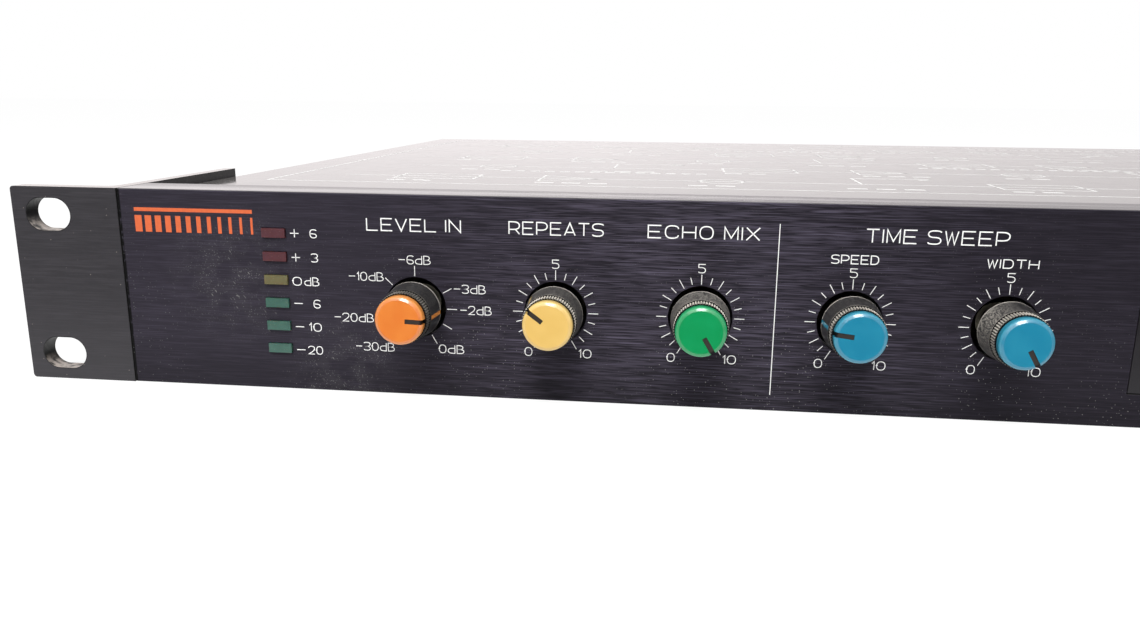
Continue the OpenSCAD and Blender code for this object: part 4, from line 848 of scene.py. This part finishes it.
def knob_plastic(name, axis, dustiness, tooth_wear_and_highlight, heaped):
    """Black knob plastic with dust from above, heaped on the left, and painted shade in the knurl's grooves.
    Its teeth are pale with wear and painted highlight; a painted highlight runs round the skirt's foot.
    """
    made, shader = finish(name, screen(24, 24, 26), 0.42)
    tree = made.node_tree
    knob_dark, knob_pale, knob_dust_and_highlight = screen(15, 15, 17), screen(32, 32, 34), screen(222, 215, 204)
    groove_painted_shade, hub_brown = screen(8, 8, 8), screen(52, 46, 42)
    black = mixed(tree, grain(tree, 2.5 * MM, detail=4), knob_dark, knob_pale)
    out, right, above = out_from(tree, axis)
    # More on top: where dust gathers, and a painted light from above on the teeth and the skirt's foot.
    settled_and_lit = between(tree, above, -7 * MM, 4 * MM, 0.1, 1)
    mist = grain(tree, 0.3 * MM, detail=4, stretch=(1, 0.5, 1))
    film = times(tree, between(tree, mist, 0.42, 0.62), dustiness)
    lint = times(tree, specks(tree, 0.42 * MM, share=0.4, radius=0.24), dustiness * 0.9 + 0.16)
    heap = between(tree, right, 0.5 * MM, -5 * MM, 1 - heaped, 1)
    dust = times(tree, most(tree, film, lint), heap)
    depth = coordinate(tree, "Y")
    knurl = math_of(tree, "LESS_THAN", depth, face_y - collar_out * MM)
    dust = times(tree, dust, math_of(tree, "SUBTRACT", 1, knurl))
    sideways = times(tree, math_of(tree, "GREATER_THAN", coordinate(tree, "Y", "Normal"), -0.5), knurl)
    flank_low, flank_high = (knurl_root + 0.06) * MM, (knurl_tip - 0.14) * MM
    # The teeth's outer flanks are pale: partly wear, partly a painted highlight.
    tooth = times(tree, between(tree, out, flank_low, flank_high, 0, tooth_wear_and_highlight), sideways)
    # Painted highlight: a thin pale line round the skirt's foot.
    rim = between(tree, depth, face_y - (foot_out + 0.3) * MM, face_y - (foot_out + 0.12) * MM, 0, 0.7)
    worn = times(tree, most(tree, dust, most(tree, tooth, rim)), settled_and_lit)
    # Painted shade: the knurl ring is painted near black, so its grooves stay dark between the teeth.
    groove = between(tree, out, (knurl_root - 0.9) * MM, (knurl_root - 0.6) * MM)
    black = mixed(tree, knurl, black, mixed(tree, groove, hub_brown, groove_painted_shade))
    coloured(made, shader, mixed(tree, worn, black, knob_dust_and_highlight))
    roughened(made, shader, between(tree, worn, 0, 0.6, 0.36, 0.85))
    embossed(made, shader, grain(tree, 0.3 * MM), 0.008 * MM)
    return made


highlight_in, highlight_out = 4.6 * MM, 5.0 * MM
gloss_in, gloss_out = 4.15 * MM, 4.35 * MM
roll_in, roll_out, roll_h = 4.3 * MM, 4.82 * MM, 0.21 * MM


def cap_plastic(name, axis, colour, pale):
    """Coloured cap plastic, evenly dyed and glossy, with a painted highlight round its thin rolled edge."""
    made, shader = finish(name, colour, 0.35, Specular_IOR_Level=0.08, Coat_IOR=1.7, Coat_Roughness=0.22)
    tree = made.node_tree
    out = out_from(tree, axis)[0]
    # Painted highlight: the cap is paler from its rolled edge outwards.
    edge = between(tree, out, highlight_in, highlight_out, 0, 0.6)
    handled = between(tree, grain(tree, 4 * MM, detail=1), 0.35, 0.8, 0, 0.25)
    coloured(made, shader, mixed(tree, most(tree, edge, handled), colour, pale))
    roughened(made, shader, between(tree, grain(tree, 3 * MM, detail=1), 0.3, 0.7, 0.3, 0.4))
    embossed(made, shader, grain(tree, 2.5 * MM, detail=1), 0.003 * MM)
    tree.links.new(between(tree, out, gloss_in, gloss_out, 0.12, 1), shader.inputs["Coat Weight"])
    roll = math_of(tree, "POWER", between(tree, out, roll_out, roll_in), 2)
    rolled = node(tree, "Bump", {"Height": roll, "Distance": roll_h, "Strength": 1.0})
    tree.links.new(rolled.outputs["Normal"], shader.inputs["Coat Normal"])
    return made


cap_colours = {"cap_orange": (screen(212, 116, 45), screen(234, 158, 74)),
               "cap_yellow": (screen(214, 176, 97), screen(236, 206, 130)),
               "cap_green": (screen(0, 138, 76), screen(18, 158, 100)),
               "cap_blue": (screen(24, 121, 151), screen(48, 147, 170))}
knob_looks = {"input": (0.06, 0.3, 0, "cap_orange", 92), "feedback": (0.16, 1.0, 0, "cap_yellow", -53),
              "output": (0.36, 0.95, 0, "cap_green", 149), "rate": (0.08, 0.7, 0.3, "cap_blue", -83),
              "depth": (0.5, 0.7, 0.92, "cap_blue", 150)}
index_w, index_sunk, index_thick = 0.82 * MM, 0.1 * MM, 0.16 * MM
for name, (dustiness, tooth_wear_and_highlight, heaped, slot, pointer) in knob_looks.items():
    dressed(knob_plastic("knob_" + name, dial_at[name], dustiness, tooth_wear_and_highlight, heaped), "knob_" + name)
    cap_finish = cap_plastic("cap_" + name, dial_at[name], *cap_colours[slot])
    dressed(cap_finish, "cap_" + name)
    index = bmesh.new()
    foot = on_face(dial_at[name], pointer, foot_r * MM) + towards_user * foot_out * MM
    collar = on_face(dial_at[name], pointer, collar_r * MM) + towards_user * collar_out * MM
    around = on_face(dial_at[name], pointer + 90, 1) - on_face(dial_at[name], pointer, 0)
    outwards = around.cross(collar - foot).normalized()
    if outwards.dot(foot - dial_at[name]) < 0:
        outwards = -outwards
    path = [end - outwards * index_sunk for end in (foot, collar)]
    line(index, path, index_w, outwards, index_thick)
    piece_from(index, "index_line_" + name, cap_finish, name + "_knob")


# Control fascia
# Satin black moulded panel set flush into the front panel, with a row of keys and a smoked red window
# over a four-digit display.
fascia_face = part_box("control_fascia")[0].y
dressed(coated("fascia_black", screen(20, 17, 22), screen(26, 23, 28), 0.45, 0.4 * MM), "control_fascia")


def smoked_window():
    """Smoked red plastic, a little uneven, that the digits show through."""
    made, shader = finish("window_red", screen(120, 18, 22), 0.08, Transmission_Weight=0.85, IOR=1.49)
    tree = made.node_tree
    red_dark, red_bright = screen(96, 12, 16), screen(128, 22, 26)
    coloured(made, shader, mixed(tree, grain(tree, 8 * MM, detail=3), red_dark, red_bright))
    roughened(made, shader, between(tree, grain(tree, 3 * MM, detail=4), 0.3, 0.7, 0.04, 0.12))
    return made


dressed(smoked_window(), "display_window")
dressed(coated("digits_black", screen(34, 34, 36), screen(44, 44, 46), 0.5, 0.4 * MM), "digit_module")
digits_low, digits_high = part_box("digit_module")
segment_ink = ink("segment_grey", screen(150, 128, 126))
digit_count = 4
digit_h, digit_w, slant = 9.0 * MM, 5.2 * MM, 0.12
segment_w, segment_thick = 0.9 * MM, 0.1 * MM
segment_gap = segment_w * 0.6
digit_mid = (digits_low + digits_high) / 2
level_segments, upright_segments = (1, 0, -1), ((0, -1), (0, 1), (-1, -1), (-1, 1))
segments = bmesh.new()
for digit in range(digit_count):
    x = digits_low.x + (digits_high.x - digits_low.x) * (digit + 0.5) / digit_count
    half_w = digit_w / 2 - segment_gap
    paths = [[(side * half_w, up * digit_h / 2) for side in (-1, 1)] for up in level_segments]
    for foot, side in upright_segments:
        low_z, high_z = foot * digit_h / 2 + segment_gap, (foot + 1) * digit_h / 2 - segment_gap
        paths.append([(side * digit_w / 2, low_z), (side * digit_w / 2, high_z)])
    for path in paths:
        points = [Vector((x + px + slant * pz, digits_low.y, digit_mid.z + pz)) for px, pz in path]
        line(segments, points, segment_w, towards_user, segment_thick)
piece_from(segments, "display_segments", segment_ink, "case")


# Keys
# Eight moulded push keys, six dark and two pale, with small red lamps above the last six. Plain
# arrows are printed under the first two and numbers under the next four.
key_dark = coated("key_dark", screen(72, 72, 76), screen(86, 86, 90), 0.42, 0.4 * MM)
key_light = coated("key_light", screen(142, 141, 136), screen(158, 157, 152), 0.42, 0.4 * MM)
key_marks = {"key_time_down": "<", "key_time_up": ">", "key_memory_1": "1", "key_memory_2": "2",
             "key_memory_3": "3", "key_memory_4": "4"}
dressed(key_dark, *key_marks)
dressed(key_light, "key_hold", "key_bypass")
dressed(lens_plastic("key_lamp_red", screen(140, 34, 42)), "key_lamps")
mark_below, mark_w = 3.6, 1.6
key_print = bmesh.new()
for name, mark in key_marks.items():
    key_low, key_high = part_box(name)
    key_mid = (key_low.x + key_high.x) / 2 / MM
    lettering(key_print, mark, key_mid, key_low.z / MM - mark_below, number_h, mark_w, face=fascia_face)
piece_from(key_print, "key_print", white_ink, "case")


# Power button
# Moulded grey push button at the right end of the panel, whose stem reaches into the switch behind it. A
# plain mark for on and off is printed under it.
dressed(coated("power_grey", screen(92, 92, 95), screen(108, 108, 110), 0.42, 0.4 * MM), "power_button")
button_low, button_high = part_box("power_button")
button_mid = (button_low.x + button_high.x) / 2 / MM
power_below, power_w = 4.2, 10.5
power_print = bmesh.new()
lettering(power_print, "ON/OFF", button_mid, button_low.z / MM - power_below, number_h, power_w)
piece_from(power_print, "power_print", white_ink, "case")


# Back
# Six moulded phone jacks with plated hexagon nuts, a slide switch for the level and a bush for the
# mains cord, all through the tray's rear wall.
jack_mould = coated("jack_black", screen(30, 30, 32), screen(40, 40, 42), 0.4, 0.4 * MM)
dressed(jack_mould, "phone_jacks", "cord_gland", "level_slider")
dressed(bare_metal("nut_chrome", screen(200, 200, 202), 0.2, turned), "jack_nuts", "level_switch")
